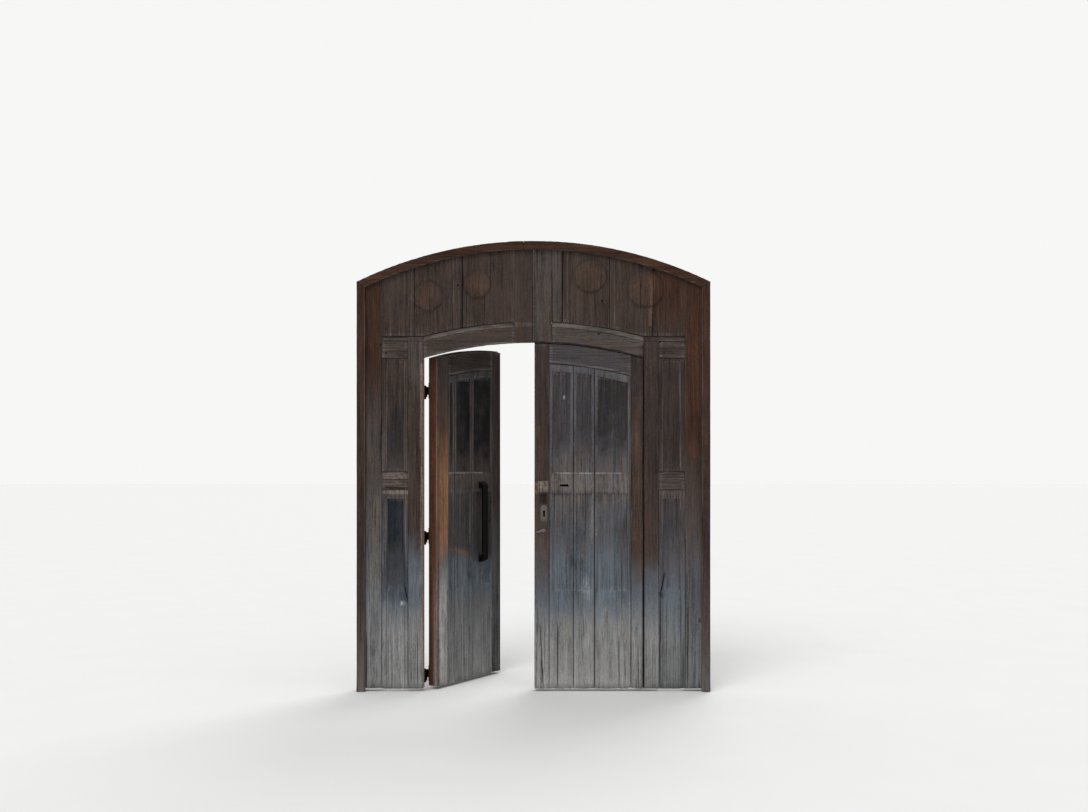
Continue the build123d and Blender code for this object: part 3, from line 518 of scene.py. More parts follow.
# %% Tones of the wickets
# The open wicket's boards and fields are darker than the shut one's: painted shade.
OPEN_BOARD = {0.0: "bleached", 0.36: "silvered", 0.52: "ashen", 0.6: "rain", 0.74: "rain",
              0.8: "gloom", 1.05: "gloom", 1.3: "clay", 1.8: "gloom"}
SHUT_BOARD = {0.0: "chalk", 0.26: "bleached", 0.4: "bleached", 0.56: "rain", 0.8: "rain",
              0.94: "slate", 1.14: "slate", 1.24: "driftwood", 1.5: "slate", 2.1: "slate"}
TONES |= {
    # The chalk foot of the open wicket's hanging stile is painted light, making up for the light its turned
    # face misses.
    "left_wicket_hanging_stile": {0.0: "chalk", 0.6: "chalk", 0.78: "ashen", 0.92: "sheltered",
                                  1.35: "sheltered", 1.6: "tan", 1.9: "umber"},
    "left_wicket_meeting_stile": {0.0: "slate", 0.7: "slate", 1.1: "peat"},
    "left_wicket_top_rail": {1.8: "peat", 2.1: "peat"},
    **{f"left_wicket_board_{n}": OPEN_BOARD for n in (1, 2, 3)},
    "right_wicket_hanging_stile": FOOT | {0.7: "slate", 0.9: "umber", 1.4: "umber", 1.8: "peat"},
    "right_wicket_meeting_stile": {0.0: "chalk", 0.38: "bleached", 0.54: "rain", 0.66: "slate",
                                   0.88: "clay", 1.2: "umber", 1.6: "peat"},
    "right_wicket_top_rail": {1.8: "gloom", 2.1: "gloom"},
    **{f"right_wicket_board_{n}": SHUT_BOARD for n in (1, 2, 3)},
}
print(len(TONES), "planks in all")

# %% Sunk fields and sawn edges
# The sunk fields' darker tones are painted shade.
FIELDS = {  # foot, top and tone of the sunk part
    "left_leaf_lower_board": (0.79, 1.3, "ink"),
    "left_leaf_upper_panel": (1.4, 1.74, "night"),
    **{f"left_wicket_board_{n}": (1.4, 2.2, "pitch") for n in (1, 2, 3)},
    "right_leaf_lower_board": (1.0, 1.3, "dusk"),
    "right_leaf_upper_panel": (1.3, 2.1, "peat"),
    **{f"right_wicket_board_{n}": (1.48, 2.2, "dusk") for n in (1, 2)},
    "right_wicket_board_3": (1.48, 2.2, "night"),
}
EDGES = {"left_wicket_hanging_stile": "bark", "left_leaf_inner_stile": "sheltered"}
print(len(FIELDS), "dark fields")

# %% [markdown]
# ## The marks, one by one
# A few marks belong to one spot: the rubbed line on the open wicket, the ghost of an old lock, the joints
# painted dark with shade, the highlights painted along the bands. A stain is listed from left to right and
# from foot to top, in metres from the middle
# and the floor, then its tone, its strength, how soft it is and how it leans.

# %% Stains on the leaves
# The open joints between the upper boards are painted dark: painted shade in the gap.
OPEN_JOINT_SHADE = ("gap", 0.8, 0.0015)
STAINS_AND_PAINTED_LIGHT = {
    "left_leaf_lower_board": [
        # The cream band under the rail is a painted highlight.
        (-0.93, -0.76, 1.204, 1.232, "cream", 0.5, 0.005),
        (-0.808, -0.785, 0.526, 0.552, "chalk", 0.95, 0.006),
        (-0.8, -0.77, 0.545, 0.6, "gap", 0.35, 0.012),
    ],
    "left_leaf_mid_cross_rail": [
        # A painted shadow under the rail, and a painted highlight on its top bevel.
        (-0.935, -0.75, 1.236, 1.245, "gap", 0.85, 0.003),
        (-0.935, -0.75, 1.298, 1.336, "cream", 0.5, 0.007),
    ],
    "left_leaf_inner_stile": [(-0.69, -0.672, 0.1, 2.0, "cream", 0.42, 0.006)],
    "left_leaf_upper_cross_rail": [
        # Painted shadow lines on the rail's top bevel, under the boards' ends.
        (-0.925, -0.78, 2.156, 2.166, "gap", 0.5, 0.004),
        (-0.925, -0.78, 2.138, 2.146, "gap", 0.35, 0.004),
    ],
    "left_leaf_upper_board_1": [(-0.4385, -0.4275, 2.15, 2.7, *OPEN_JOINT_SHADE)],
    "left_leaf_upper_board_2": [(-0.4385, -0.4345, 2.15, 2.7, *OPEN_JOINT_SHADE)],
    "right_leaf_inner_stile": [
        (0.672, 0.7, 0.75, 1.5, "tan", 0.4, 0.012),
        # The joint beside the shut wicket is painted dark: painted shade.
        (0.67, 0.677, 0.02, 1.97, "gap", 0.6, 0.002),
    ],
    "right_leaf_upper_board_1": [(0.169, 0.176, 2.2, 2.72, *OPEN_JOINT_SHADE)],
    "right_leaf_upper_board_2": [(0.176, 0.182, 2.2, 2.72, *OPEN_JOINT_SHADE)],
    "right_leaf_upper_board_3": [
        (0.704, 0.726, 2.23, 2.52, "sheltered", 0.28, 0.008),
        (0.722, 0.73, 2.17, 2.31, "gap", 0.8, 0.002),
    ],
    "right_leaf_upper_board_4": [(0.728, 0.733, 2.17, 2.31, "gap", 0.8, 0.002)],
    "right_leaf_lower_board": [(0.766, 0.792, 0.582, 0.612, "gap", 0.6, 0.007, -0.6)],
    "right_leaf_outer_stile": [
        (0.95, 1.03, 1.52, 1.7, "gap", 0.25, 0.03),
        (1.006, 1.022, 0.42, 0.445, "gap", 0.6, 0.005),
        (0.95, 1.04, 1.4, 2.3, "bark", 0.22, 0.03),
    ],
}
print(sum(len(marks) for marks in STAINS_AND_PAINTED_LIGHT.values()), "stains on the leaves")

# %% Stains on the wickets
# Painted highlights on the bevels that face up: at the top of the band and at the foot of the low fields.
BAND_HIGHLIGHT = (1.327, 1.335, "chalk")
BAND_FACE = (1.214, 1.322, "edge")
LOW_HIGHLIGHT = (0.612, 0.622, "silvered")
STAINS_AND_PAINTED_LIGHT |= {
    "left_wicket_board_1": [
        (-0.36, -0.24, 0.66, 0.785, "rain", 0.5, 0.012, -0.28),
        (-0.312, -0.2, *BAND_HIGHLIGHT, 0.36, 0.003),
    ],
    "left_wicket_board_2": [
        (-0.49, -0.3, 0.7, 0.826, "rain", 0.5, 0.012, -0.28),
        (-0.49, -0.34, 0.828, 0.868, "sheltered", 0.36, 0.014, -0.28),
        (-0.49, -0.312, *BAND_HIGHLIGHT, 0.36, 0.003),
    ],
    "left_wicket_board_3": [
        (-0.57, -0.49, 0.72, 0.85, "rain", 0.5, 0.012, -0.28),
        (-0.56, -0.49, 0.85, 0.875, "sheltered", 0.3, 0.012, -0.28),
        (-0.552, -0.49, *BAND_HIGHLIGHT, 0.36, 0.003),
    ],
    "left_wicket_hanging_stile": [(-0.672, -0.64, 0.0, 1.5, "bark", 0.7, 0.01)],
    "right_wicket_meeting_stile": [
        (0.029, 0.089, 1.218, 1.283, "cream", 0.75, 0.003),
        (0.004, 0.027, 1.205, 1.275, "sheltered", 0.36, 0.005),
        (0.008, 0.018, 1.236, 1.256, "gap", 0.45, 0.004),
        (0.04, 0.082, 1.143, 1.205, "gap", 0.45, 0.004),
        (0.012, 0.05, 1.3, 1.62, "tan", 0.5, 0.01),
    ],
    "right_wicket_board_1": [
        (0.134, 0.25, *BAND_HIGHLIGHT, 0.5, 0.003),
        (0.1, 0.25, *BAND_FACE, 0.3, 0.008),
        (0.155, 0.235, 1.36, 1.45, "driftwood", 0.6, 0.03),
        (0.156, 0.22, 1.264, 1.272, "cream", 0.6, 0.003),
        (0.183, 0.191, 1.783, 1.804, "chalk", 0.75, 0.005),
        (0.14, 0.25, *LOW_HIGHLIGHT, 0.45, 0.005),
    ],
    "right_wicket_board_2": [
        (0.24, 0.368, *BAND_HIGHLIGHT, 0.5, 0.003),
        (0.24, 0.373, *BAND_FACE, 0.26, 0.008),
        (0.25, 0.3, 1.34, 1.44, "driftwood", 0.5, 0.03),
        (0.31, 0.352, 0.57, 0.69, "chalk", 0.3, 0.03),
        (0.24, 0.36, *LOW_HIGHLIGHT, 0.3, 0.005),
        (0.352, 0.366, 0.9, 1.2, "chalk", 0.25, 0.008),
        # The joint between two boards is painted dark: painted shade.
        (0.369, 0.376, 0.02, 1.3, "gap", 0.6, 0.002),
    ],
    "right_wicket_board_3": [
        (0.378, 0.54, *BAND_HIGHLIGHT, 0.42, 0.003),
        (0.378, 0.58, *BAND_FACE, 0.18, 0.008),
        (0.378, 0.42, 1.15, 1.2, "gap", 0.35, 0.014),
        (0.377, 0.392, 0.95, 1.18, "chalk", 0.18, 0.007),
        (0.4, 0.59, *LOW_HIGHLIGHT, 0.35, 0.005),
        (0.582, 0.597, 0.34, 0.61, "chalk", 0.28, 0.006),
        (0.52, 0.59, 0.66, 1.05, "tan", 0.25, 0.02),
    ],
    "right_wicket_hanging_stile": [
        (0.606, 0.668, 0.92, 1.8, "tan", 0.5, 0.015),
        (0.628, 0.668, 0.66, 0.95, "ruddy", 0.35, 0.02),
        # The joint beside the leaf is painted dark: painted shade.
        (0.662, 0.67, 0.02, 1.97, "gap", 0.6, 0.002),
    ],
}
print(sum(len(marks) for marks in STAINS_AND_PAINTED_LIGHT.values()), "stains in all")

# %% Discs and arcs
DISCS = {
    "left_leaf_upper_board_1": [(-0.3447, 2.486, 0.086)],
    "left_leaf_upper_board_2": [(-0.6436, 2.412, 0.091)],
    "right_leaf_upper_board_2": [(0.3447, 2.534, 0.1)],
    **{f"right_leaf_upper_board_{n}": [(0.6838, 2.455, 0.112)] for n in (3, 4)},
}
# The pale arcs are painted highlights on the mouldings, the dark ones painted shade in the joint over the
# right wicket.
ARCS = {
    "left_leaf_arched_rail": [(2.548, 2.574, "edge", 0.3), (2.45, 2.462, "edge", 0.25)],
    "right_leaf_arched_rail": [(2.548, 2.574, "edge", 0.32), (2.448, 2.458, "gap", 0.8)],
    "right_leaf_meeting_stile": [(2.448, 2.458, "gap", 0.7)],
    "right_wicket_top_rail": [(2.324, 2.338, "edge", 0.3), (2.441, 2.452, "gap", 0.8)],
    **{f"right_wicket_{part}_stile": [(2.441, 2.452, "gap", 0.7)] for part in ("meeting", "hanging")},
    "left_wicket_top_rail": [(2.324, 2.338, "edge", 0.2)],
    "left_leaf_meeting_stile": [(2.548, 2.574, "edge", 0.15)],
}
print(len(DISCS), "planks with discs,", len(ARCS), "with arcs")

# %% [markdown]
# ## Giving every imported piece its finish
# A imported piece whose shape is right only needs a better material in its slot. The planks get theirs here
# too, and their worked copies further below carry it over.

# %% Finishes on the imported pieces
BODY_OF = {node: body for body, nodes in frame["record"]["behaviour"]["bodies"].items() for node in nodes}


def lies_across(node):
    """Whether the grain runs from side to side, as in the rails and the arched heads."""
    return "rail" in node or "head" in node


PLANK_FINISH = {}
for seed, (node, tones) in enumerate(TONES.items()):
    along = "x" if lies_across(node) else "z"
    marks = [table.get(node, ()) for table in (STAINS_AND_PAINTED_LIGHT, DISCS, ARCS)]
    PLANK_FINISH[node] = timber(node + "_timber", tones, along, seed, node.startswith("left_wicket"),
                                FIELDS.get(node), EDGES.get(node, "umber"), *marks)

FRAME_TONES = {0.0: "driftwood", 0.3: "clay", 0.8: "peat", 2.4: "russet"}
INDOORS = {0.0: "indoors", 2.5: "indoors"}
HIDDEN = {
    "jamb": timber("jamb_timber", FRAME_TONES, "z", 61),
    "head": timber("head_timber", FRAME_TONES, "x", 67),
    "ledges": timber("ledge_timber", INDOORS, "x", 71),
}
PLANK_FINISH["left_wicket_ledges"] = timber("open_wicket_ledge_timber", INDOORS, "x", 73, True)
print(len(PLANK_FINISH) + len(HIDDEN), "timber finishes")

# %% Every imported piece
IRON_WORDS = ("pintles", "straps", "bolt", "keeper", "handle", "lock_case", "guides")


def packed_finish(node):
    """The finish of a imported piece, by what the piece is."""
    if node in PLANK_FINISH:
        return PLANK_FINISH[node]
    if node.endswith("escutcheon"):
        return WORN_IRON
    if any(word in node for word in IRON_WORDS):
        return IRON
    return HIDDEN[node.split("_")[-1]]


for node, piece in frame["nodes"].items():
    piece.data.materials.clear()
    piece.data.materials.append(packed_finish(node))
print("finished", len(frame["nodes"]), "packed pieces")

# %% [markdown]
# ## Working the planks
# Old timber is never flat. The soft grain weathers away, the arrises are rubbed round, checks open along the
# grain, and the feet rot from below. A bump in the finish can't give that to the outline or the shadows, so a
# worked copy stands in for each packed plank. It is cut into narrow strips along its grain, and its points
# are pushed inwards, so the gate keeps its size.

# %% A plank, ready to be worked
GRAIN_STEP = 0.0055
LENGTH_STEP = 0.042
WELD = 0.00002
SAW_SLACK = 0.000002
LEVEL = math.radians(0.6)
STREETWARD = -0.2
PIN_SHIFT = Matrix.Translation(WICKET_PIN)
SWING_SHUT = PIN_SHIFT @ CLOSED @ PIN_SHIFT.inverted()
SWING_OPEN = SWING_SHUT.inverted()


def plank_copy(node):
    """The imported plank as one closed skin. The open wicket is swung shut while it is worked."""
    skin = bmesh.new()
    skin.from_mesh(frame["nodes"][node].data)
    bmesh.ops.remove_doubles(skin, verts=skin.verts, dist=WELD)
    if node.startswith("left_wicket"):
        bmesh.ops.transform(skin, matrix=SWING_SHUT, verts=skin.verts)
    bmesh.ops.dissolve_limit(skin, angle_limit=LEVEL, verts=skin.verts, edges=skin.edges)
    return skin


def street_faces(skin):
    """The faces that look at the street, with their edges and points."""
    faces = [face for face in skin.faces if face.normal.y < STREETWARD]
    edges = {edge for face in faces for edge in face.edges}
    points = {point for face in faces for point in face.verts}
    return list(points) + list(edges) + faces


def saw(skin, place, direction):
    """Divides the street side along a plane."""
    bmesh.ops.bisect_plane(skin, geom=street_faces(skin), dist=SAW_SLACK, plane_co=place, plane_no=direction)


def extent(skin, axis):
    """How far the plank reaches along an axis."""
    places = [point.co[axis] for point in skin.verts]
    return min(places), max(places)


def into_strips(skin, across, along):
    """Strips along the grain, divided again along their length."""
    for axis, step in ((across, GRAIN_STEP), (along, LENGTH_STEP)):
        low, high = extent(skin, axis)
        count = max(2, round((high - low) / step))
        direction = Vector([float(axis == n) for n in range(3)])
        for number in range(1, count):
            saw(skin, direction * (low + (high - low) * number / count), direction)


print("a strip is", GRAIN_STEP * 1000, "mm wide")

# %% [markdown]
# ## Cracks and checks
# A crack is three cuts side by side. The middle line is pressed into the plank, deepest half way, and all
# three wander with the grain. Its points are marked, so that the finish darkens them.


# %% Cracks
ON_CUT = 0.00001


def drift(place, seed):
    """How far a crack strays to the side at a place along the grain."""
    bend = noise.noise(Vector((place * 5.0, seed, 0.5)))
    jag = noise.noise(Vector((place * 31.0, seed, 2.5)))
    return 0.0028 * bend + 0.0008 * jag


def darken(point, marks, amount):
    """Marks a point as dark, unless it is darker already."""
    point[marks["crack"]] = max(point[marks["crack"]], amount)


def open_crack(skin, marks, start, end, width, depth, across, along, seed):
    """One crack between two points of the plank's face, given as (across, along)."""
    run = Vector((end[0] - start[0], end[1] - start[1])).normalized()
    direction, foot = Vector(), Vector()
    direction[across], direction[along] = run.y, -run.x
    foot[across], foot[along] = start
    for shift in (-width / 2, 0.0, width / 2):
        saw(skin, foot + direction * shift, direction)
    for point in skin.verts:
        off = abs((point.co - foot).dot(direction))
        share = (point.co[along] - start[1]) / (end[1] - start[1])
        if off > width / 2 + ON_CUT or point.co.y > 0 or not 0.0 < share < 1.0:
            continue
        point.co[across] += drift(point.co[along], seed)
        darken(point, marks, 0.45)
        if off < 2 * ON_CUT:
            open_by = min(1.0, 3.0 * min(share, 1.0 - share)) ** 0.6
            point.co.y += depth * open_by
            darken(point, marks, open_by)


print("a crack strays", round(drift(0.3, 1.0) * 1000, 2), "mm at one place")

# %% Small checks
CHECKS_PER_SQUARE_METRE = 16
CHECK_MARGIN = 0.012


def open_checks(skin, marks, across, along, dice):
    """Small checks at random places, more of them low down where the wet sits."""
    low, high = extent(skin, across)
    foot, top = extent(skin, along)
    for _ in range(round((high - low) * (top - foot) * CHECKS_PER_SQUARE_METRE)):
        start = dice.uniform(low + CHECK_MARGIN, high - CHECK_MARGIN)
        rise = (top - foot) * dice.random() ** 1.5
        length = dice.uniform(0.08, 0.42)
        lean = dice.uniform(-0.002, 0.002)
        width, depth = dice.uniform(0.0010, 0.0018), dice.uniform(0.001, 0.003)
        seed = dice.uniform(0, 90)
        begin, end = (start, foot + rise), (start + lean, min(foot + rise + length, top))
        open_crack(skin, marks, begin, end, width, depth, across, along, seed)


print(CHECKS_PER_SQUARE_METRE, "checks to a square metre")

# %% [markdown]
# ## Worn arrises, proud grain and ragged feet
# An edge that stands out is rubbed round and pale; an edge that lies in is darkened with painted shade. Both
# are found from the angle between their faces. Only the joint over the wickets has grown: wet has swollen its
# two stiles until they all but touch, and the line between them is painted dark as shade. The joint on the
# shut wicket's hinge side is worn less than the rest, because two planks shelter each other there, and is
# painted dark as shade.


# %% Edges that stand out or lie in
SHARP = 0.4


def edge_points(skin, along, convex):
    """The points of the edges that stand out or lie in, and those of them on edges along the grain."""
    every, grain = set(), set()
    for edge in skin.edges:
        if len(edge.link_faces) == 2 and edge.calc_face_angle(0.0) > SHARP and edge.is_convex == convex:
            every.update(edge.verts)
            run = edge.verts[0].co - edge.verts[1].co
            if abs(run[along]) > 0.8 * run.length:
                grain.update(edge.verts)
    return every, grain


print("an edge counts from", round(math.degrees(SHARP)), "degrees")

# %% Wear, in metres
FLOOR_GAP = 0.015
WICKET_TOP = 2.12
SHUT_JOINT = 0.670
JOINT_REACH = 0.006
MEETING_ARRIS = 0.005
MEETING_SWELL = 0.00064
GRAIN_DEPTH = 0.0006
SWELL_DEPTH = 0.0010
LEAST_RUB, MOST_RUB = 0.0004, 0.0022
CHIP_DEPTH, CHIP_FROM = 0.006, 0.34
LARGEST_SHARE = 0.32


def ripple(*place):
    """Smooth noise from 0 to 1 at a place."""
    return 0.5 + 0.5 * noise.noise(Vector(place))


def rot(c, depth, seed):
    """How much of a foot has rotted away."""
    bites = max(0.0, noise.noise(Vector((c * 23, depth * 9, seed + 11))))
    return 0.0015 + 0.011 * bites + 0.003 * abs(noise.noise(Vector((c * 120, 0, seed))))


def wear_down(skin, marks, across, along, seed, front):
    """Pushes the points in by grain, wear and rot, and marks what the finish should show."""
    skin.normal_update()
    proud, long_proud = edge_points(skin, along, True)
    long_hollow = edge_points(skin, along, False)[1]
    ragged = extent(skin, 2)[0] < FLOOR_GAP + 0.001
    moves = []
    for point in skin.verts:
        x, y, z = point.co
        c, g = point.co[across], point.co[along]
        grain, swell = ripple(c * 95, g * 2.6, seed), ripple(c * 14, g * 1.7, seed + 7)
        push = (GRAIN_DEPTH * grain + SWELL_DEPTH * swell) * max(0.0, -point.normal.y)
        if point in proud and y < 0:
            rub = ripple(g * 9.0, c * 40, seed + 3)
            chip = noise.noise(Vector((g * 21.0, c * 50, seed + 5)))
            push += LEAST_RUB + MOST_RUB * rub * rub
            push += CHIP_DEPTH * max(0.0, chip - CHIP_FROM)
            if point in long_proud and front - 0.0005 < y < front + 0.0025:
                point[marks["wear"]] = min(1.0, 0.2 + 0.8 * rub + max(0.0, chip))
        # Inner corners along the grain are darkened: painted shade.
        if point in long_hollow and front + 0.001 < y < 0:
            darken(point, marks, 0.4)
        # The shut wicket's hinge joint is painted dark: painted shade.
        if abs(x - SHUT_JOINT) < JOINT_REACH and y < 0 and z < WICKET_TOP:
            push *= 0.25
            point[marks["wear"]] = 0.0
            darken(point, marks, 0.7)
        shortest = min((edge.calc_length() for edge in point.link_edges), default=0.0)
        shift = point.normal * -min(push, LARGEST_SHARE * shortest)
        # The slit between the leaves over the wickets is painted dark: painted shade.
        if abs(x) < MEETING_ARRIS and z > WICKET_TOP and y < front + 0.02:
            swollen = MEETING_SWELL if abs(x) < 0.001 else 0.0
            shift = Vector((-math.copysign(swollen, x), 0, 0))
            point[marks["crack"]] = 0.95
        if ragged and z < FLOOR_GAP + 0.001:
            shift = Vector((0, 0, rot(c, y, seed)))
        moves.append((point, shift))
    for point, shift in moves:
        point.co += shift


print("an arris loses up to", round((LEAST_RUB + MOST_RUB) * 1000, 1), "mm by rubbing")

# %% [markdown]
# ## The big cracks, one by one
# Some cracks are large enough to know the gate by. Each is listed with where it begins and ends, as distances
# from the middle and the floor, and how wide and deep it is.

# %% Cracks to know the gate by
CRACKS = {
    "left_leaf_outer_stile": [((-0.932, 1.46), (-0.93, 1.68), 0.004, 0.01),
                              ((-1.02, 0.03), (-1.018, 0.36), 0.004, 0.01)],
    "left_leaf_inner_stile": [((-0.706, 0.04), (-0.708, 0.36), 0.003, 0.009)],
    "left_leaf_lower_board": [((-0.79, 0.66), (-0.764, 0.54), 0.007, 0.014),
                              ((-0.764, 0.55), (-0.762, 0.03), 0.003, 0.008)],
    "left_leaf_upper_board_1": [((-0.3, 2.26), (-0.3, 2.42), 0.003, 0.008)],
    "left_wicket_hanging_stile": [((-0.655, 0.03), (-0.65, 0.8), 0.004, 0.012),
                                  ((-0.566, 0.3), (-0.56, 0.66), 0.004, 0.01)],
    "left_wicket_board_2": [((-0.4, 0.03), (-0.398, 0.5), 0.003, 0.009)],
    "right_leaf_outer_stile": [((0.94, 0.05), (0.944, 0.52), 0.004, 0.01)],
    "right_leaf_lower_board": [((0.772, 0.02), (0.774, 0.6), 0.005, 0.012),
                               ((0.772, 0.59), (0.8, 0.72), 0.009, 0.016)],
    "right_leaf_upper_board_3": [((0.65, 2.24), (0.652, 2.5), 0.004, 0.01)],
    "right_wicket_hanging_stile": [((0.64, 0.02), (0.636, 0.3), 0.003, 0.008)],
    "right_wicket_meeting_stile": [((0.06, 0.02), (0.04, 0.42), 0.004, 0.012)],
    "right_wicket_board_1": [((0.146, 0.02), (0.148, 0.4), 0.005, 0.013)],
    "right_wicket_board_3": [((0.52, 0.04), (0.522, 0.34), 0.003, 0.008)],
}
print(sum(len(cracks) for cracks in CRACKS.values()), "large cracks")

# %% [markdown]
# ## From packed plank to worked plank
# The steps come together here: copy, strips, large cracks, small checks, wear. The worked copy has the packed
# plank's finish, rides on its body and takes its place, so it swings as the plank does.

# %% A finished piece on its body
CREASE = math.radians(32)


def placed(name, data):
    """A new object in the scene."""
    made = bpy.data.objects.new(name, data)
    bpy.context.scene.collection.objects.link(made)
    return made


def as_piece(skin, name, finish, body):
    """Turns a skin into a finished piece that rides on its body."""
    mesh = bpy.data.meshes.new(name)
    skin.to_mesh(mesh)
    skin.free()
    mesh.polygons.foreach_set("use_smooth", [True] * len(mesh.polygons))
    mesh.set_sharp_from_angle(angle=CREASE)
    mesh.materials.append(finish)
    piece = placed(name, mesh)
    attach(piece, body)
    return piece


print("a crease starts at", round(math.degrees(CREASE)), "degrees")

# %% Work every plank
LEAF_FRONT = -0.030
FRAME_FRONT = -0.050
FRAME_PLANKS = ("left_jamb", "right_jamb", "left_head", "right_head")


def work_plank(node, seed, front=LEAF_FRONT):
    """The worked copy of one plank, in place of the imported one."""
    skin = plank_copy(node)
    marks = {name: skin.verts.layers.float.new(name) for name in ("wear", "crack")}
    along, across = (0, 2) if lies_across(node) else (2, 0)
    into_strips(skin, across, along)
    for number, (start, end, width, depth) in enumerate(CRACKS.get(node, ())):
        open_crack(skin, marks, start, end, width, depth, across, along, seed + number * 3.1)
    open_checks(skin, marks, across, along, random.Random(seed))
    wear_down(skin, marks, across, along, seed * 2.7, front)
    if node.startswith("left_wicket"):
        bmesh.ops.transform(skin, matrix=SWING_OPEN, verts=skin.verts)
    piece = as_piece(skin, node + "_worked", packed_finish(node), BODY_OF[node])
    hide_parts(node)
    return piece


worked = [work_plank(node, seed) for seed, node in enumerate(TONES, start=1)]
for seed, node in enumerate(FRAME_PLANKS, start=50):
    worked.append(work_plank(node, seed, FRAME_FRONT))
print(len(worked), "planks worked,", sum(len(piece.data.polygons) for piece in worked), "faces")

# %% [markdown]
# ## The slot's flap and the broken latch
# Behind the letter slot hangs a thin iron flap with a rolled top edge, so no daylight comes through. Below
# the keyhole is what a broken latch has left: a round rose and a bent stub. The flap is a bevelled plate with
# a rod along its top, the latch a disc with a ring extruded and turned step by step.

# %% The flap behind the slot
FLAP_LEFT, FLAP_RIGHT = 0.153, 0.223
FLAP_FOOT, FLAP_TOP = 1.238, 1.276
FLAP_FACE = 0.0084
FLAP_THICK = 0.0016
ROLL_RADIUS = 0.0028
LUG_FOOT, LUG_TOP = 1.273, 1.300
LUG_WIDTH, LUG_THICK = 0.008, 0.0062
LUG_INSET = 0.007


def ease(skin, edges, rounding):
    """Rounds edges a little, as filing does."""
    bmesh.ops.bevel(skin, geom=edges, offset=rounding, segments=2, profile=0.5, affect="EDGES", material=-1)


def plate(skin, left, right, thick, foot, top, rounding):
    """A thin plate on the flap's plane, from a cube that is scaled and moved."""
    made = bmesh.ops.create_cube(skin, size=1.0)["verts"]
    bmesh.ops.scale(skin, vec=(right - left, thick, top - foot), verts=made)
    middle = ((left + right) / 2, FLAP_FACE + thick / 2, (foot + top) / 2)
    bmesh.ops.translate(skin, vec=middle, verts=made)
    ease(skin, list({edge for point in made for edge in point.link_edges}), rounding)


def roll(skin, left, right, y, z, radius):
    """A rolled edge: a rod that lies along the gate."""
    turn = Matrix.Translation(((left + right) / 2, y, z)) @ Matrix.Rotation(math.radians(90), 4, "Y")
    made = bmesh.ops.create_cone(
        skin, cap_ends=True, segments=16, radius1=radius, radius2=radius, depth=right - left, matrix=turn
    )["verts"]
    edges = {edge for point in made for edge in point.link_edges}
    rims = [edge for edge in edges if abs(edge.verts[0].co.x - edge.verts[1].co.x) < 0.0001]
    ease(skin, rims, radius * 0.25)


flap_shape = bmesh.new()
plate(flap_shape, FLAP_LEFT, FLAP_RIGHT, FLAP_THICK, FLAP_FOOT, FLAP_TOP, 0.0004)
roll(flap_shape, FLAP_LEFT, FLAP_RIGHT, FLAP_FACE + ROLL_RADIUS, FLAP_TOP + 0.001, ROLL_RADIUS)
for left in (FLAP_LEFT + LUG_INSET, FLAP_RIGHT - LUG_INSET - LUG_WIDTH):
    plate(flap_shape, left, left + LUG_WIDTH, LUG_THICK, LUG_FOOT, LUG_TOP, 0.0008)
as_piece(flap_shape, "right_wicket_slot_flap", IRON, "right_wicket")
print("the flap is", round((FLAP_TOP - FLAP_FOOT) * 1000), "mm tall")

# %% The rose of the latch
LATCH = Vector((0.060, LEAF_FRONT, 0.981))
TO_STREET = Matrix.Rotation(math.radians(90), 4, "X")
latch_shape = bmesh.new()
bmesh.ops.create_cone(
    latch_shape, cap_ends=True, segments=28, radius1=0.0125, radius2=0.0105, depth=0.003,
    matrix=Matrix.Translation(LATCH + Vector((0, -0.0014, 0))) @ TO_STREET,
)
rims = [edge for edge in latch_shape.edges if len({face.normal.to_tuple(1) for face in edge.link_faces}) > 1]
ease(latch_shape, [edge for edge in rims if abs(edge.verts[0].co.y - edge.verts[1].co.y) < 0.0001], 0.0006)
print("the rose has", len(latch_shape.faces), "faces")

# %% The stub of the latch
STUB = [  # where each ring goes from the last, its turn in degrees, its size against the last
    ((0, -0.006, 0), 0, 0.9), ((-0.002, -0.0045, 0), 30, 1.1), ((-0.008, -0.002, -0.001), 60, 1.0),
    ((-0.012, 0, -0.003), 85, 0.9), ((-0.012, 0.001, -0.004), 95, 0.82), ((-0.010, 0.001, -0.002), 90, 0.7),
]
ring = bmesh.ops.create_circle(
    latch_shape, cap_ends=True, segments=16, radius=0.0052,
    matrix=Matrix.Translation(LATCH + Vector((0, -0.0025, 0))) @ TO_STREET,
)["verts"]
tip = [face for face in latch_shape.faces if set(face.verts) == set(ring)]
turned_by = 0
for step, bend, size in STUB:
    made = bmesh.ops.extrude_face_region(latch_shape, geom=tip)["geom"]
    bmesh.ops.delete(latch_shape, geom=tip, context="FACES_ONLY")
    tip = [item for item in made if isinstance(item, bmesh.types.BMFace)]
    points = [item for item in made if isinstance(item, bmesh.types.BMVert)]
    bmesh.ops.translate(latch_shape, vec=step, verts=points)
    middle = sum((point.co for point in points), Vector()) / len(points)
    turn = Matrix.Rotation(math.radians(turned_by - bend), 3, "Z")
    bmesh.ops.rotate(latch_shape, cent=middle, verts=points, matrix=turn)
    bmesh.ops.scale(latch_shape, vec=(size,) * 3, verts=points, space=Matrix.Translation(-middle))
    turned_by = bend
bmesh.ops.recalc_face_normals(latch_shape, faces=latch_shape.faces)
as_piece(latch_shape, "right_wicket_latch_stub", PALE_IRON, "right_wicket")
print("the stub has", len(STUB), "rings")

# %% [markdown]
# ## Forged nails
# A few nail heads show under the arch. Each was struck by hand: a low cone of six sides, knocked out of true
# with seeded numbers. Heads on one leaf are one piece.

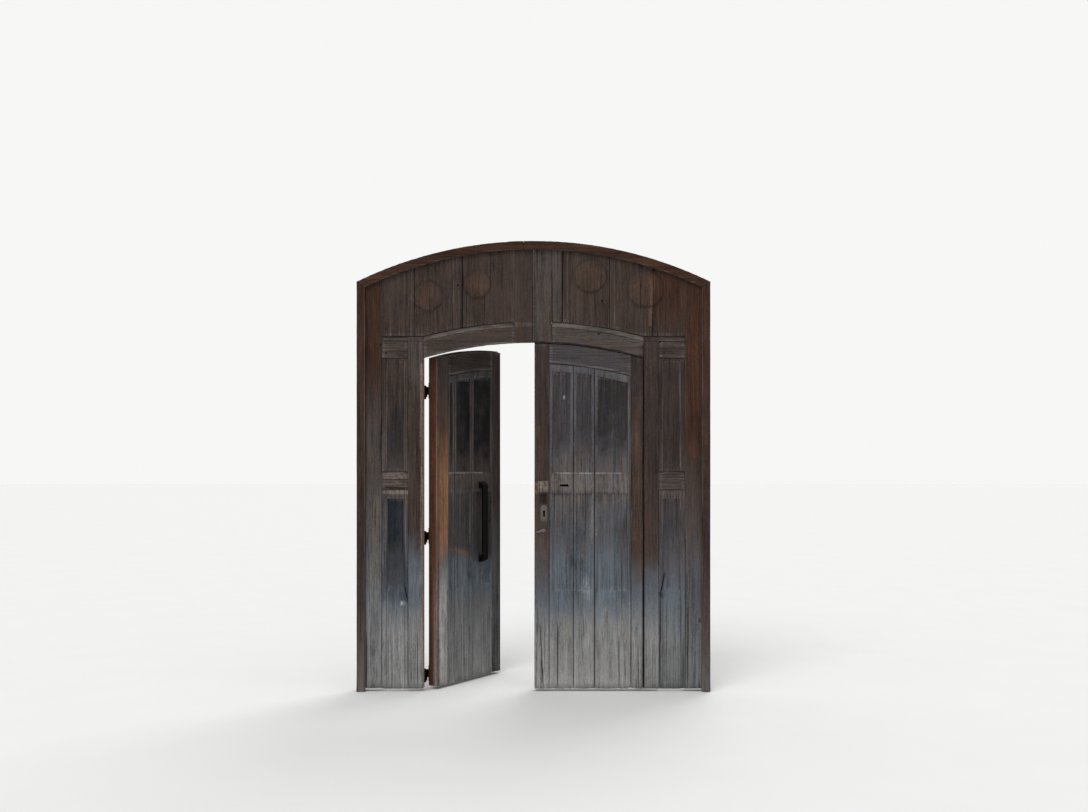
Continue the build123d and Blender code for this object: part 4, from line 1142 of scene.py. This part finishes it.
# %% Nail heads
NAILS = {
    "left_leaf": [(-0.459, 2.477), (-0.933, 2.115), (-0.900, 2.062)],
    "right_leaf": [(0.419, 2.382), (0.397, 2.181), (0.772, 2.132)],
}
OUT_OF_TRUE = 0.001
nail_dice = random.Random(8)
for body, places in NAILS.items():
    heads = bmesh.new()
    for x, z in places:
        place = Matrix.Translation((x, LEAF_FRONT - 0.0004, z)) @ TO_STREET
        head = bmesh.ops.create_cone(
            heads, cap_ends=True, segments=6, radius1=0.0068, radius2=0.0022, depth=0.0036, matrix=place
        )["verts"]
        for point in head:
            point.co.x += nail_dice.uniform(-OUT_OF_TRUE, OUT_OF_TRUE)
            point.co.z += nail_dice.uniform(-OUT_OF_TRUE, OUT_OF_TRUE)
    ease(heads, list(heads.edges), 0.0005)
    as_piece(heads, body + "_nails", IRON, body)
print(sum(len(places) for places in NAILS.values()), "nails")

# %% [markdown]
# ## The floor, the light and the camera
# The gate stands on a pale floor. A white world gives an even light, and two far lamps, in front and behind,
# model the mouldings from above. The world looks brighter to the eye and in gloss than it lights, so the
# backdrop is pale and the timber isn't washed out. The camera stands level at eye height.

# %% Floor
floor_shape = bmesh.new()
bmesh.ops.create_grid(floor_shape, x_segments=1, y_segments=1, size=60.0)
floor_mesh = bpy.data.meshes.new("floor")
floor_shape.to_mesh(floor_mesh)
floor_shape.free()
floor = placed("floor", floor_mesh)
plaster = Finish(bpy.data.materials.new("pale_floor"))
floor_point = plaster.node("TexCoord", out="Object")
floor_mark = plaster.noise(stretched(plaster, floor_point, "z", 0.4, 0.4, 1), 3.0)
floor_tone = plaster.brighten((0.78, 0.78, 0.775), 1.0 + floor_mark * 0.02)
floor_mesh.materials.append(plaster.surface(floor_tone, 0.9, floor_mark, 0.0005))
print("the floor lies at", floor.location.z)


# %% Light
LAMP_WIDTH = math.radians(34)
ROOM_LIGHT = 0.62
ROOM_SEEN = (0.93, 0.93, 0.925, 1)


def far_lamp(name, azimuth, elevation, strength):
    """A lamp so far away that it lights the floor evenly, and wide enough for soft shadows."""
    data = bpy.data.lights.new(name, "SUN")
    data.energy = strength
    data.angle = LAMP_WIDTH
    placed(name, data).rotation_euler = (math.radians(90 - elevation), 0, math.radians(azimuth))


far_lamp("front_lamp", -24, 48, 1.2)
far_lamp("back_lamp", 156, 48, 1.0)
bpy.context.scene.world = bpy.data.worlds.new("white_room")
room = Finish(bpy.context.scene.world)
lit = room.node("Background", {"Color": (1, 1, 1, 1), "Strength": ROOM_LIGHT})
shown = room.node("Background", {"Color": ROOM_SEEN})
seen = room.node("LightPath", out="Is Camera Ray")
for ray in (seen.other("Is Glossy Ray"), seen.other("Is Transmission Ray")):
    seen = room.maths("MAXIMUM", seen, ray)
room.node("OutputWorld", {"Surface": room.node("MixShader", {0: seen, 1: lit, 2: shown})})
print("two lamps and a white world")

# %% Camera
lens = bpy.data.cameras.new("camera")
lens.lens = 36.4
lens.shift_y = 0.0506
camera = placed("camera", lens)
camera.location = (0.064, -6.74, 1.405)
camera.rotation_euler = (math.radians(90), 0, 0)
bpy.context.scene.camera = camera
bpy.context.scene.view_settings.view_transform = "Standard"
print("the camera stands", round(-camera.location.y, 2), "m in front")
